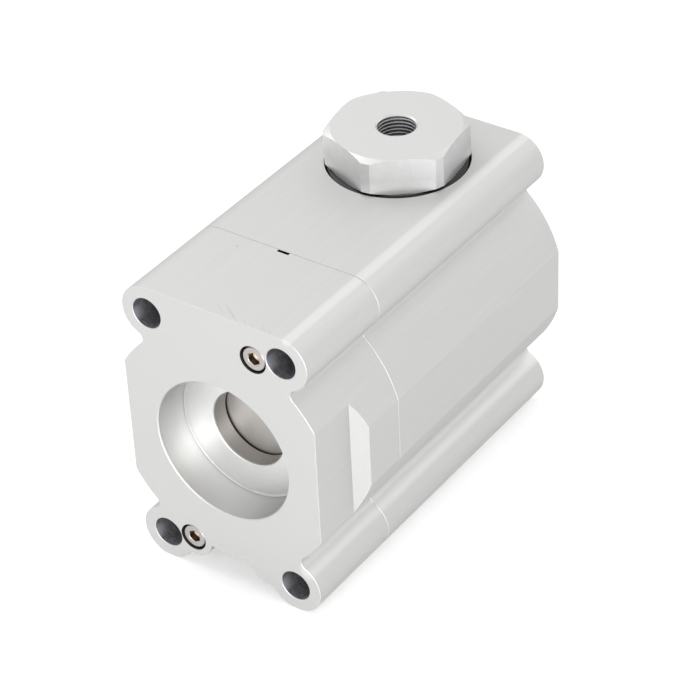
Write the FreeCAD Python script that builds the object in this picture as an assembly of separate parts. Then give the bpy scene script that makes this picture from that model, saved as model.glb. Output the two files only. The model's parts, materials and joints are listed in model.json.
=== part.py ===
import FreeCAD, Part
import math
import os

Vector = FreeCAD.Vector

# Pressure regulator valve: a pilot-operated piston valve in a split aluminium housing.
# All sizes are in millimetres. The origin is the centre of the inlet port on the front face.
# +X is to the right, +Y runs with the flow into the valve, and +Z is up towards the hex cap.

# Housing, outside
FRONT_LENGTH = 39.7            # front face to the seam
BODY_RIM = 5.0                 # round body outside the seal groove on the seam
SIDE_FLAT_DEPTH = 1.6          # flats milled along the whole length
WRENCH_FLAT_DEPTH = 6.0        # deeper flats at the front, for a wrench
WRENCH_FLAT_LENGTH = 18.6
WRENCH_RAMP_ANGLE = 45.0       # slanted end of a wrench flat, in degrees
BOLT_SPACING_X = 52.3          # four M10 tie bolts pass right through
BOLT_SPACING_Z = 89.65
BOLT_HOLE_R = 5.5
TUBE_WALL = 4.43               # metal round each bolt hole
BOSS_WALL = 2.3                # metal round each screw head, under the body
TUBE_VALLEY_R = 2.5            # fillet between the body and a tube
BOSS_VALLEY_R = 1.2            # fillet on either side of a boss
END_CHAMFER = 0.2              # outer edge of the front and rear face
SEAM_CHAMFER = 0.2             # outer edges that meet at the seam
BOLT_HOLE_CHAMFER = 0.25

# Ports in the front and rear face
PORT_R = 26.0
PORT_DEPTH = 14.0
PORT_CORNER_R = 0.8            # fillet in the floor of the port
PORT_CHAMFER = 0.35
THROAT_R = 14.05
THROAT_CHAMFER = 0.3
OUTLET_THROAT_LENGTH = 2.0
OUTLET_CONE_LENGTH = 12.8

# Weep slot on the seam, at the middle of the top face
SLOT_WIDTH = 4.5
SLOT_LENGTH = 1.25
SLOT_DEPTH = 11.0

# Play beside an O-ring in its groove
GROOVE_PLAY = 0.3
SMALL_GROOVE_PLAY = 0.2

# Seat ring, pressed into the front housing from behind
SEAT_LIP = 0.8                 # aluminium left in front of the ring
SEAT_RING_WALL = 4.45
SEAT_RING_LENGTH = 5.2
SEAT_NOSE = 1.0                # raised sealing edge on the back of the ring
SEAT_NOSE_WIDTH = 1.9
SEAT_SEAL_WIRE_R = 0.9

# Flow passage: bore of the rear housing, and the chamber behind the seat
FLOW_R = 32.0
CHAMBER_STEP = 1.0             # chamber narrower than the flow bore
CHAMBER_GAP = 2.5              # flat floor of the chamber outside the disc
CHAMBER_CONE = 6.0             # length of the cone between floor and wall

# Valve piston and what it carries
TRAVEL = 7.0                   # a quarter of the throat's diameter
DISC_RIM = 2.1                 # metal outside the seal in the disc
DISC_THICKNESS = 5.4
DISC_EDGE = 0.5
POCKET_WALL = 4.0              # metal between the disc and the spring pocket
SKIRT_GAP = 0.4                # skirt to guide bore
SKIRT_WALL = 3.8
SKIRT_NECK_DEPTH = 2.0         # relief between the disc and the skirt
SKIRT_END_LAND = 2.5
POPPET_SEAL_INSET = 0.05       # from the throat's edge
POPPET_SEAL_WIDTH = 3.2
POPPET_SEAL_THICKNESS = 2.2
POPPET_SEAL_PROUD = 0.35
JET_R = 2.5
JET_LENGTH = 5.0
JET_HOLE_R = 0.6
JET_OFFSET = 3.5               # from the axis, to the right and up
JET_SLOT_WIDTH = 0.7
JET_SLOT_DEPTH = 0.8
GUIDE_RING_WIDTH = 4.0
GUIDE_RING_DEPTH = 1.0         # groove in the skirt
GUIDE_RING_SPLIT = 1.0
FIRST_RING_FROM_DISC = 12.0    # valve wide open, from the guide bore's mouth
RING_LAND = 1.05               # metal between a ring groove and the seal groove
PISTON_SEAL_WIRE_R = 1.4
RUNNING_GAP = 0.05             # guide rings in their bore
STOP_GAP = 0.1                 # disc to guide barrel, valve wide open

# Guide body, the barrel on six ribs in the middle of the flow
GUIDE_BORE_R = 16.2
GUIDE_BORE_CHAMFER = 0.6
GUIDE_BORE_SPARE = 3.0         # bore beyond the end of the travel
BARREL_WALL = 4.8
BARREL_CHAMFER = 1.5
FLANGE_SEAT = 2.0              # flange outside the flow bore
FLANGE_THICKNESS = 7.0
FLANGE_BAND = 3.4              # width of the rim outside the ribs
RIB_COUNT = 6
RIB_WIDTH = 6.0
SPRING_CHAMBER_GAP = 0.5       # spring chamber wider than the skirt's bore
CROSS_PASSAGE_R = 4.0
NOSE_LENGTH = 8.0
SOCKET_WALL = 1.5              # metal between the pilot tube's socket and the spring chamber

# Main spring
MAIN_WIRE_R = 0.9
MAIN_SPRING_GAP = 1.2          # spring to the skirt's bore
MAIN_TURNS = 9.0

# Seal and fastenings at the seam
SEAL_LAND = 1.4                # metal between the guide flange and the seal groove
HOUSING_SEAL_WIRE_R = 1.3
SCREW_R = 2.5
SCREW_GAP = 0.25               # clearance hole round the shank
SCREW_HEAD_R = 4.35
SCREW_HEAD_HEIGHT = 5.0
SCREW_HEAD_CHAMFER = 0.3
SCREW_SOCKET_WIDTH = 4.1
SCREW_SOCKET_DEPTH = 2.5
SCREW_SOCKET_TIP = 1.2         # cone that the drill leaves under the hexagon
SCREW_SOCKET_CHAMFER = 0.15
SCREW_RECESS = 0.5             # head below the front face
SCREW_BITE = 15.0              # thread in the rear housing
SCREW_HOLE_SPARE = 3.0         # hole beyond the screw's end
SCREW_DROP = 2.475             # screw nearer to the middle plane than its bolt hole
SCREW_WALL = 0.53              # metal between the counterbore and the bolt hole
COUNTERBORE_GAP = 0.65
PIN_R = 2.5
PIN_LENGTH = 16.0
PIN_CHAMFER = 0.5

# Hex cap on top of the rear housing
CAP_FROM_SEAM = 65.1
CAP_TURN = 8.5                 # degrees from +X to the first flat
CAP_WALL = 0.65                # housing between the cap's thread and a bolt hole
HEX_LAND = 2.0                 # flat of the hexagon outside the thread
HEX_CORNER_REACH = 2.55        # turned corner outside the flats
HEX_HEIGHT = 13.39
HEX_SINK = 0.35                # foot of the hex below the top face
HEX_CHAMFER_REACH = 0.25       # turned chamfers at top and foot, from outside the flats
HEX_CHAMFER_DROP = 1.15
CAP_TIP_CHAMFER = 1.2
CAP_THREAD_SPARE = 0.5         # thread in the housing ends above the pilot body
CAP_CAVITY_GAP = 1.2           # cavity outside the pilot body's crown
CAP_ROOF = 11.3                # length of the G1/4 thread
EXHAUST_R = 6.58               # G1/4, over the thread's roots
EXHAUST_CHAMFER = 0.6
CAP_SEAL_WIRE_R = 1.75
CAP_SEAL_GAP = 1.1             # seal outside the thread
SEAL_RECESS_GAP = 0.2          # recess outside the seal

# Pilot tube between the guide body and the pilot chamber
PILOT_TUBE_R = 4.5
PILOT_TUBE_WALL = 2.1
TUBE_SOCKET_DEPTH = 9.0
TUBE_SLIP = 0.1
TUBE_HEAD_LEDGE = 1.5
TUBE_HEAD_HEIGHT = 2.0
TUBE_TIP_CHAMFER = 0.4
TUBE_SEAL_WIRE_R = 0.6
LOWER_SEAL_HEIGHT = 4.0        # above the tube's end
PILOT_FLOOR = 4.0              # metal over the flow bore

# Pilot valve in the chamber under the cap
PILOT_BORE_STEP = 1.0          # chamber narrower than the cap's thread
PILOT_BASE_HEIGHT = 4.0
PILOT_NOSE_WALL = 2.0
PILOT_NOSE_TAPER = 0.8
PILOT_NOSE_HEIGHT = 1.5
PILOT_CROWN_BORE_R = 10.0
PILOT_CROWN_WALL = 1.8
PILOT_CROWN_OVERLAP = 1.3      # crown still round the poppet when it is open
PILOT_WINDOWS = 4
PILOT_WINDOW_WIDTH = 5.0
PILOT_WINDOW_SILL = 0.5
PILOT_TRAVEL = 2.0
PILOT_FACING_MARGIN = 1.2      # rubber outside the nose
PILOT_FACING_THICKNESS = 1.4
PILOT_FACING_PROUD = 0.3
PILOT_HUB_RIM = 1.4
PILOT_HUB_HEIGHT = 1.4
PILOT_DISC_HEIGHT = 2.5
PILOT_SPIGOT_GAP = 0.65        # spigot inside the spring
PILOT_SPIGOT_HEIGHT = 1.8
PILOT_SPIGOT_TAPER = 0.5
PILOT_SPRING_WIRE_R = 0.65
PILOT_SPRING_GAP = 1.45        # spring inside the crown
PILOT_SPRING_TURNS = 5.0
SHIM_THICKNESS = 1.0
SHIM_HOLE_GAP = 0.2            # shim's hole wider than the spigot
PILOT_SEAL_LAND = 2.2          # metal between the tube's head and the seal groove
PILOT_SEAL_WIRE_R = 1.0

# How far a cut runs past what it cuts
SPARE = 1.0

# Places and radii that follow from the sizes above
FLANGE_R = FLOW_R + FLANGE_SEAT
CHAMBER_R = FLOW_R - CHAMBER_STEP
SEAL_GROOVE_INNER_R = FLANGE_R + SEAL_LAND
HOUSING_SEAL_R = SEAL_GROOVE_INNER_R + GROOVE_PLAY + HOUSING_SEAL_WIRE_R
SEAL_GROOVE_OUTER_R = HOUSING_SEAL_R + HOUSING_SEAL_WIRE_R + GROOVE_PLAY
BODY_R = SEAL_GROOVE_OUTER_R + BODY_RIM
SIDE_FLAT_X = BODY_R - SIDE_FLAT_DEPTH
WRENCH_FLAT_X = BODY_R - WRENCH_FLAT_DEPTH
TUBE_X = BOLT_SPACING_X / 2
TUBE_Z = BOLT_SPACING_Z / 2
TUBE_R = BOLT_HOLE_R + TUBE_WALL
TOP_Z = TUBE_Z + TUBE_R
COUNTERBORE_R = SCREW_HEAD_R + COUNTERBORE_GAP
BOSS_R = COUNTERBORE_R + BOSS_WALL
SCREW_TO_BOLT = COUNTERBORE_R + SCREW_WALL + BOLT_HOLE_R
SCREW_X = TUBE_X - math.sqrt(SCREW_TO_BOLT ** 2 - SCREW_DROP ** 2)
SCREW_Z = TUBE_Z - SCREW_DROP
HEAD_SEAT_Y = SCREW_RECESS + SCREW_HEAD_HEIGHT
SCREW_END_Y = FRONT_LENGTH + SCREW_BITE
SCREW_PLACES = [(SCREW_X, SCREW_Z), (-SCREW_X, -SCREW_Z)]
PIN_PLACES = [(-SCREW_X, SCREW_Z), (SCREW_X, -SCREW_Z)]

SEAT_RING_R = THROAT_R + SEAT_RING_WALL
SEAT_RING_Y = PORT_DEPTH + SEAT_LIP
CHAMBER_FLOOR_Y = SEAT_RING_Y + SEAT_RING_LENGTH
SEAT_Y = CHAMBER_FLOOR_Y + SEAT_NOSE
POPPET_SEAL_INNER_R = THROAT_R + POPPET_SEAL_INSET
POPPET_SEAL_OUTER_R = POPPET_SEAL_INNER_R + POPPET_SEAL_WIDTH
DISC_R = POPPET_SEAL_OUTER_R + DISC_RIM
CHAMBER_FLOOR_R = DISC_R + CHAMBER_GAP
DISC_Y = SEAT_Y + POPPET_SEAL_PROUD
DISC_BACK_Y = DISC_Y + DISC_THICKNESS
POCKET_Y = DISC_BACK_Y + POCKET_WALL
SKIRT_R = GUIDE_BORE_R - SKIRT_GAP
SKIRT_BORE_R = SKIRT_R - SKIRT_WALL
PISTON_SEAL_R = GUIDE_BORE_R - RUNNING_GAP / 2 - PISTON_SEAL_WIRE_R
PISTON_SEAL_HALF = PISTON_SEAL_WIRE_R + GROOVE_PLAY
FIRST_RING_Y = DISC_BACK_Y + TRAVEL + FIRST_RING_FROM_DISC
PISTON_SEAL_Y = FIRST_RING_Y + GUIDE_RING_WIDTH + RING_LAND + PISTON_SEAL_HALF
LAST_RING_Y = PISTON_SEAL_Y + PISTON_SEAL_HALF + RING_LAND
GUIDE_RING_STARTS = [FIRST_RING_Y, LAST_RING_Y]
SKIRT_END_Y = LAST_RING_Y + GUIDE_RING_WIDTH + SKIRT_END_LAND

BARREL_R = GUIDE_BORE_R + BARREL_WALL
BARREL_Y = DISC_BACK_Y + TRAVEL + STOP_GAP
GUIDE_BORE_END_Y = SKIRT_END_Y + TRAVEL + GUIDE_BORE_SPARE
SPRING_CHAMBER_R = SKIRT_BORE_R + SPRING_CHAMBER_GAP
MAIN_COIL_R = SKIRT_BORE_R - MAIN_SPRING_GAP - MAIN_WIRE_R
CAP_Y = FRONT_LENGTH + CAP_FROM_SEAM
SOCKET_REACH = PILOT_TUBE_R + TUBE_SLIP + SOCKET_WALL
SPRING_SEAT_Y = CAP_Y - SOCKET_REACH
BARREL_END_Y = CAP_Y + SOCKET_REACH
OUTLET_CONE_END_Y = BARREL_END_Y + OUTLET_CONE_LENGTH
OUTLET_FLOOR_Y = OUTLET_CONE_END_Y + OUTLET_THROAT_LENGTH
LENGTH = OUTLET_FLOOR_Y + PORT_DEPTH

CAP_THREAD_R = TUBE_X - BOLT_HOLE_R - CAP_WALL
HEX_FLAT_R = CAP_THREAD_R + HEX_LAND
HEX_CORNER_R = HEX_FLAT_R + HEX_CORNER_REACH
HEX_CHAMFER_R = HEX_FLAT_R + HEX_CHAMFER_REACH
CAP_SEAL_R = CAP_THREAD_R + CAP_SEAL_GAP + CAP_SEAL_WIRE_R
SEAL_RECESS_R = CAP_SEAL_R + CAP_SEAL_WIRE_R + SEAL_RECESS_GAP
HEX_Z = TOP_Z - HEX_SINK
CAP_TOP_Z = HEX_Z + HEX_HEIGHT
CAP_SEAL_REACH = max(CAP_SEAL_R - HEX_CHAMFER_R, 0)
CAP_SEAL_Z = HEX_Z - math.sqrt(CAP_SEAL_WIRE_R ** 2 - CAP_SEAL_REACH ** 2)
CAP_CAVITY_TOP_Z = CAP_TOP_Z - CAP_ROOF
CAP_CAVITY_R = PILOT_CROWN_BORE_R + PILOT_CROWN_WALL + CAP_CAVITY_GAP

PILOT_BORE_R = CAP_THREAD_R - PILOT_BORE_STEP
PILOT_TUBE_BORE_R = PILOT_TUBE_R - PILOT_TUBE_WALL
TUBE_HEAD_R = PILOT_TUBE_R + TUBE_HEAD_LEDGE
TUBE_SEAL_R = PILOT_TUBE_R + TUBE_SLIP - TUBE_SEAL_WIRE_R
TUBE_END_Z = BARREL_R - TUBE_SOCKET_DEPTH
PILOT_FLOOR_Z = FLOW_R + PILOT_FLOOR
TUBE_HEAD_TOP_Z = PILOT_FLOOR_Z + TUBE_HEAD_HEIGHT
TUBE_SEAL_PLACES = [TUBE_END_Z + LOWER_SEAL_HEIGHT, PILOT_FLOOR_Z - PILOT_FLOOR / 2]
PILOT_BASE_TOP_Z = PILOT_FLOOR_Z + PILOT_BASE_HEIGHT
PILOT_SEAT_Z = PILOT_BASE_TOP_Z + PILOT_NOSE_HEIGHT
PILOT_HUB_Z = PILOT_SEAT_Z + PILOT_FACING_PROUD
PILOT_DISC_Z = PILOT_HUB_Z + PILOT_HUB_HEIGHT
PILOT_DISC_TOP_Z = PILOT_DISC_Z + PILOT_DISC_HEIGHT
PILOT_SEAL_R = TUBE_HEAD_R + TUBE_SLIP + PILOT_SEAL_LAND + SMALL_GROOVE_PLAY + PILOT_SEAL_WIRE_R
PILOT_NOSE_R = PILOT_TUBE_BORE_R + PILOT_NOSE_WALL
PILOT_FACING_R = PILOT_NOSE_R + PILOT_FACING_MARGIN
PILOT_HUB_R = PILOT_FACING_R + PILOT_HUB_RIM
PILOT_SPRING_R = PILOT_CROWN_BORE_R - PILOT_SPRING_GAP - PILOT_SPRING_WIRE_R
PILOT_SPIGOT_R = PILOT_SPRING_R - PILOT_SPRING_WIRE_R - PILOT_SPIGOT_GAP
SHIM_Z = CAP_CAVITY_TOP_Z - SHIM_THICKNESS


# Building blocks

def rod(x, z, radius, y0, y1):
    """Round bar along Y."""
    return Part.makeCylinder(radius, y1 - y0, Vector(x, y0, z), Vector(0, 1, 0))


def post(x, y, radius, z0, z1):
    """Round bar along Z."""
    return Part.makeCylinder(radius, z1 - z0, Vector(x, y, z0), Vector(0, 0, 1))


def block(x0, x1, y0, y1, z0, z1):
    return Part.makeBox(x1 - x0, y1 - y0, z1 - z0, Vector(x0, y0, z0))


def prism(points, y0, y1):
    """Straight bar along Y over a polygon of (x, z) points."""
    corners = [Vector(x, y0, z) for x, z in points]
    face = Part.Face(Part.makePolygon(corners + corners[:1]))
    return face.extrude(Vector(0, y1 - y0, 0))


def turned(points):
    """Part turned about the port axis from (radius, y) points."""
    corners = [Vector(radius, y, 0) for radius, y in points]
    face = Part.Face(Part.makePolygon(corners + corners[:1]))
    return face.revolve(Vector(0, 0, 0), Vector(0, 1, 0), 360)


def turned_up(points):
    """Part turned about the cap's upright axis from (radius, z) points."""
    corners = [Vector(radius, CAP_Y, z) for radius, z in points]
    face = Part.Face(Part.makePolygon(corners + corners[:1]))
    return face.revolve(Vector(0, CAP_Y, 0), Vector(0, 0, 1), 360)


def fused(first, *others):
    """One solid out of several that touch or overlap, without left-over edges."""
    return first.multiFuse(list(others)).removeSplitter()


def mirrored(shape):
    """The same shape on the other side of the middle plane."""
    return shape.mirror(Vector(0, 0, 0), Vector(1, 0, 0))


def o_ring(y, radius, wire_r):
    """O-ring about the port axis."""
    return Part.makeTorus(radius, wire_r, Vector(0, y, 0), Vector(0, 1, 0))


def upright_o_ring(z, radius, wire_r):
    """O-ring about the cap's axis."""
    return Part.makeTorus(radius, wire_r, Vector(0, CAP_Y, z), Vector(0, 0, 1))


def hex_bar(flat_r, height):
    """Hexagon prism on Z with its first flat facing +X."""
    corner_r = 2 * flat_r / math.sqrt(3)
    corners = []
    for i in range(6):
        angle = math.radians(30 + 60 * i)
        corners.append(Vector(corner_r * math.cos(angle), corner_r * math.sin(angle), 0))
    face = Part.Face(Part.makePolygon(corners + corners[:1]))
    return face.extrude(Vector(0, 0, height))


def coil_spring(coil_r, wire_r, length, turns):
    """Compression spring on Z with a closed, ground turn at each end."""
    steps_per_turn = 12
    active_turns = turns - 2
    rise = (length - 4 * wire_r) / active_turns
    points = []
    for step in range(int(turns * steps_per_turn) + 1):
        turn = step / steps_per_turn
        closed = min(turn, 1.0) + max(turn - turns + 1, 0.0)
        height = 2 * wire_r * closed + rise * (turn - closed)
        angle = 2 * math.pi * turn
        points.append(Vector(coil_r * math.cos(angle), coil_r * math.sin(angle), height))
    line = Part.BSplineCurve()
    line.interpolate(points)
    path = Part.Wire(line.toShape())
    section = Part.Wire(Part.makeCircle(wire_r, points[0], line.tangent(line.FirstParameter)[0]))
    wire = path.makePipeShell([section], True, True)
    reach = coil_r + 2 * wire_r
    slab = Part.makeBox(2 * reach, 2 * reach, length, Vector(-reach, -reach, 0))
    return wire.common(slab)


def valley(circle_a, circle_b, radius, y0, y1):
    """Fillet in the valley on the right of the way from one round wall to the next."""
    ax, az, ar = circle_a
    bx, bz, br = circle_b
    span = math.hypot(bx - ax, bz - az)
    ux = (bx - ax) / span
    uz = (bz - az) / span
    along = (span ** 2 + (ar + radius) ** 2 - (br + radius) ** 2) / (2 * span)
    out = math.sqrt((ar + radius) ** 2 - along ** 2)
    fx = ax + ux * along + uz * out
    fz = az + uz * along - ux * out
    web = prism([(ax, az), (bx, bz), (fx, fz)], y0, y1)
    return web.cut(rod(fx, fz, radius, y0, y1))


def end_edges(shape, y):
    """Edges of the flat face of a bar that lies at one Y."""
    edges = []
    for edge in shape.Edges:
        box = edge.BoundBox
        if abs(box.YMin - y) < 0.01 and abs(box.YMax - y) < 0.01:
            edges.append(edge)
    return edges


# Housings

def housing_bar(y0, y1):
    """Outer form that both housings share: round body, flat top, four tubes, two bosses."""
    body = (0, 0, BODY_R)
    upper_tube = (TUBE_X, TUBE_Z, TUBE_R)
    lower_tube = (TUBE_X, -TUBE_Z, TUBE_R)
    boss = (SCREW_X, -SCREW_Z, BOSS_R)
    middle = rod(0, 0, BODY_R, y0, y1)
    middle = middle.common(block(-SIDE_FLAT_X, SIDE_FLAT_X, y0, y1, -BODY_R, BODY_R))
    shoulders = [(TUBE_X, TUBE_Z), (TUBE_X, TOP_Z), (-TUBE_X, TOP_Z), (-TUBE_X, TUBE_Z)]
    top = prism([(0, 0)] + shoulders, y0, y1)
    side = [rod(x, z, r, y0, y1) for x, z, r in (upper_tube, lower_tube, boss)]
    side.append(prism([(0, 0), (TUBE_X, -TUBE_Z), (SCREW_X, -SCREW_Z)], y0, y1))
    side.append(valley(body, upper_tube, TUBE_VALLEY_R, y0, y1))
    side.append(valley(lower_tube, body, TUBE_VALLEY_R, y0, y1))
    side.append(valley(boss, lower_tube, BOSS_VALLEY_R, y0, y1))
    side.append(valley(body, boss, BOSS_VALLEY_R, y0, y1))
    other_side = [mirrored(shape) for shape in side]
    return fused(middle, top, *side, *other_side)


def bolt_holes(y0, y1, chamfer_y, inward):
    """Four holes for the tie bolts, chamfered at the end that faces out."""
    cuts = []
    reach = BOLT_HOLE_CHAMFER
    for x in (-TUBE_X, TUBE_X):
        for z in (-TUBE_Z, TUBE_Z):
            cuts.append(rod(x, z, BOLT_HOLE_R, y0, y1))
            start = Vector(x, chamfer_y, z)
            way = Vector(0, inward, 0)
            cuts.append(Part.makeCone(BOLT_HOLE_R + reach, BOLT_HOLE_R, reach, start, way))
    return cuts


def port_cut(face_y, inward):
    """Round socket that a flanged pipe end seats in, with a small fillet in its floor."""
    rim_r = PORT_R + PORT_CHAMFER
    floor_y = face_y + inward * PORT_DEPTH
    socket = turned([
        (0, face_y),
        (rim_r, face_y),
        (PORT_R, face_y + inward * PORT_CHAMFER),
        (PORT_R, floor_y),
        (0, floor_y),
    ])
    rim = [edge for edge in end_edges(socket, floor_y) if edge.Length > 2 * math.pi * PORT_R - 1]
    socket = socket.makeFillet(PORT_CORNER_R, rim)
    throat_edge = turned([
        (0, floor_y),
        (THROAT_R + THROAT_CHAMFER, floor_y),
        (THROAT_R, floor_y + inward * THROAT_CHAMFER),
        (0, floor_y + inward * THROAT_CHAMFER),
    ])
    return [socket, throat_edge]


def wrench_flat():
    """Cut for the flat on the right, which runs out over a slope."""
    outer_x = BODY_R + SPARE
    slope = (outer_x - WRENCH_FLAT_X) / math.tan(math.radians(WRENCH_RAMP_ANGLE))
    half_height = math.sqrt(BODY_R ** 2 - WRENCH_FLAT_X ** 2) + SPARE
    corners = [
        Vector(WRENCH_FLAT_X, -SPARE, -half_height),
        Vector(outer_x, -SPARE, -half_height),
        Vector(outer_x, WRENCH_FLAT_LENGTH + slope, -half_height),
        Vector(WRENCH_FLAT_X, WRENCH_FLAT_LENGTH, -half_height),
    ]
    face = Part.Face(Part.makePolygon(corners + corners[:1]))
    return face.extrude(Vector(0, 0, 2 * half_height))


def front_housing():
    flat = wrench_flat()
    bar = housing_bar(0, FRONT_LENGTH).cut([flat, mirrored(flat)])
    bar = bar.makeChamfer(END_CHAMFER, end_edges(bar, 0))
    bar = bar.makeChamfer(SEAM_CHAMFER, end_edges(bar, FRONT_LENGTH))
    cuts = bolt_holes(0, FRONT_LENGTH, 0, 1)
    cuts += port_cut(0, 1)
    cuts.append(rod(0, 0, THROAT_R, PORT_DEPTH, SEAT_RING_Y))
    cuts.append(rod(0, 0, SEAT_RING_R, SEAT_RING_Y, CHAMBER_FLOOR_Y))
    cuts.append(turned([
        (0, CHAMBER_FLOOR_Y),
        (CHAMBER_FLOOR_R, CHAMBER_FLOOR_Y),
        (CHAMBER_R, CHAMBER_FLOOR_Y + CHAMBER_CONE),
        (CHAMBER_R, FRONT_LENGTH),
        (0, FRONT_LENGTH),
    ]))
    for x, z in SCREW_PLACES:
        cuts.append(rod(x, z, COUNTERBORE_R, 0, HEAD_SEAT_Y))
        cuts.append(rod(x, z, SCREW_R + SCREW_GAP, HEAD_SEAT_Y, FRONT_LENGTH))
    for x, z in PIN_PLACES:
        cuts.append(rod(x, z, PIN_R, FRONT_LENGTH - PIN_LENGTH / 2, FRONT_LENGTH))
    cuts.append(block(-SLOT_WIDTH / 2, SLOT_WIDTH / 2, FRONT_LENGTH - SLOT_LENGTH, FRONT_LENGTH,
                      TOP_Z - SLOT_DEPTH, TOP_Z))
    return bar.cut(cuts)


def rear_housing():
    bar = housing_bar(FRONT_LENGTH, LENGTH)
    bar = bar.makeChamfer(SEAM_CHAMFER, end_edges(bar, FRONT_LENGTH))
    bar = bar.makeChamfer(END_CHAMFER, end_edges(bar, LENGTH))
    cuts = bolt_holes(FRONT_LENGTH, LENGTH, LENGTH, -1)
    cuts += port_cut(LENGTH, -1)
    cuts.append(turned([
        (0, FRONT_LENGTH),
        (FLANGE_R, FRONT_LENGTH),
        (FLANGE_R, FRONT_LENGTH + FLANGE_THICKNESS),
        (FLOW_R, FRONT_LENGTH + FLANGE_THICKNESS),
        (FLOW_R, BARREL_END_Y),
        (THROAT_R, OUTLET_CONE_END_Y),
        (THROAT_R, OUTLET_FLOOR_Y),
        (0, OUTLET_FLOOR_Y),
    ]))
    groove_floor = FRONT_LENGTH + 2 * HOUSING_SEAL_WIRE_R
    cuts.append(turned([
        (SEAL_GROOVE_INNER_R, FRONT_LENGTH),
        (SEAL_GROOVE_OUTER_R, FRONT_LENGTH),
        (SEAL_GROOVE_OUTER_R, groove_floor),
        (SEAL_GROOVE_INNER_R, groove_floor),
    ]))
    for x, z in SCREW_PLACES:
        cuts.append(rod(x, z, SCREW_R, FRONT_LENGTH, SCREW_END_Y + SCREW_HOLE_SPARE))
    for x, z in PIN_PLACES:
        cuts.append(rod(x, z, PIN_R, FRONT_LENGTH, FRONT_LENGTH + PIN_LENGTH / 2))
    cuts.append(post(0, CAP_Y, SEAL_RECESS_R, CAP_SEAL_Z - CAP_SEAL_WIRE_R, TOP_Z))
    cuts.append(post(0, CAP_Y, CAP_THREAD_R, PILOT_BASE_TOP_Z + CAP_THREAD_SPARE, TOP_Z))
    cuts.append(post(0, CAP_Y, PILOT_BORE_R, PILOT_FLOOR_Z, TOP_Z))
    cuts.append(post(0, CAP_Y, PILOT_TUBE_R + TUBE_SLIP, 0, PILOT_FLOOR_Z))
    return bar.cut(cuts)


# Seat

def seat_ring():
    """Stainless ring that the piston closes on, with a groove for its own O-ring."""
    nose_r = THROAT_R + SEAT_NOSE_WIDTH
    groove_y = SEAT_RING_Y + SEAT_RING_LENGTH / 2
    half = SEAT_SEAL_WIRE_R + SMALL_GROOVE_PLAY
    groove_r = SEAT_RING_R - 2 * SEAT_SEAL_WIRE_R
    return turned([
        (THROAT_R, SEAT_RING_Y),
        (SEAT_RING_R, SEAT_RING_Y),
        (SEAT_RING_R, groove_y - half),
        (groove_r, groove_y - half),
        (groove_r, groove_y + half),
        (SEAT_RING_R, groove_y + half),
        (SEAT_RING_R, CHAMBER_FLOOR_Y),
        (nose_r + SEAT_NOSE, CHAMBER_FLOOR_Y),
        (nose_r, SEAT_Y),
        (THROAT_R, SEAT_Y),
    ])


def seat_ring_seal():
    radius = SEAT_RING_R - SEAT_SEAL_WIRE_R
    return o_ring(SEAT_RING_Y + SEAT_RING_LENGTH / 2, radius, SEAT_SEAL_WIRE_R)


# Piston

def valve_piston():
    """Stainless disc and skirt in one turned piece."""
    seal_floor_y = SEAT_Y + POPPET_SEAL_THICKNESS
    neck_r = SKIRT_R - SKIRT_NECK_DEPTH
    neck_end_y = DISC_BACK_Y + SKIRT_NECK_DEPTH
    piston = turned([
        (0, DISC_Y),
        (POPPET_SEAL_INNER_R, DISC_Y),
        (POPPET_SEAL_INNER_R, seal_floor_y),
        (POPPET_SEAL_OUTER_R, seal_floor_y),
        (POPPET_SEAL_OUTER_R, DISC_Y),
        (DISC_R - DISC_EDGE, DISC_Y),
        (DISC_R, DISC_Y + DISC_EDGE),
        (DISC_R, DISC_BACK_Y - 2 * DISC_EDGE),
        (DISC_R - 2 * DISC_EDGE, DISC_BACK_Y),
        (neck_r, DISC_BACK_Y),
        (neck_r, neck_end_y),
        (SKIRT_R, neck_end_y + SKIRT_NECK_DEPTH),
        (SKIRT_R, SKIRT_END_Y - DISC_EDGE),
        (SKIRT_R - DISC_EDGE, SKIRT_END_Y),
        (SKIRT_BORE_R + DISC_EDGE, SKIRT_END_Y),
        (SKIRT_BORE_R, SKIRT_END_Y - DISC_EDGE),
        (SKIRT_BORE_R, POCKET_Y),
        (0, POCKET_Y),
    ])
    cuts = []
    for ring_y in GUIDE_RING_STARTS:
        floor_r = SKIRT_R - GUIDE_RING_DEPTH
        cuts.append(skirt_groove(ring_y, ring_y + GUIDE_RING_WIDTH, floor_r))
    seal_floor_r = PISTON_SEAL_R - PISTON_SEAL_WIRE_R
    cuts.append(skirt_groove(PISTON_SEAL_Y - PISTON_SEAL_HALF, PISTON_SEAL_Y + PISTON_SEAL_HALF,
                             seal_floor_r))
    jet_start_y = POCKET_Y - JET_LENGTH
    cuts.append(rod(JET_OFFSET, JET_OFFSET, JET_R, jet_start_y, POCKET_Y))
    cuts.append(rod(JET_OFFSET, JET_OFFSET, 2 * JET_HOLE_R, DISC_Y, jet_start_y))
    return piston.cut(cuts)


def skirt_groove(y0, y1, floor_r):
    """Ring cut into the outside of the skirt."""
    return rod(0, 0, SKIRT_R + SPARE, y0, y1).cut(rod(0, 0, floor_r, y0, y1))


def poppet_seal():
    """Rubber ring in the face of the disc, proud of the metal where it meets the seat."""
    edge = POPPET_SEAL_PROUD
    return turned([
        (POPPET_SEAL_INNER_R, SEAT_Y),
        (POPPET_SEAL_OUTER_R - edge, SEAT_Y),
        (POPPET_SEAL_OUTER_R, SEAT_Y + edge),
        (POPPET_SEAL_OUTER_R, SEAT_Y + POPPET_SEAL_THICKNESS),
        (POPPET_SEAL_INNER_R, SEAT_Y + POPPET_SEAL_THICKNESS),
    ])


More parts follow.
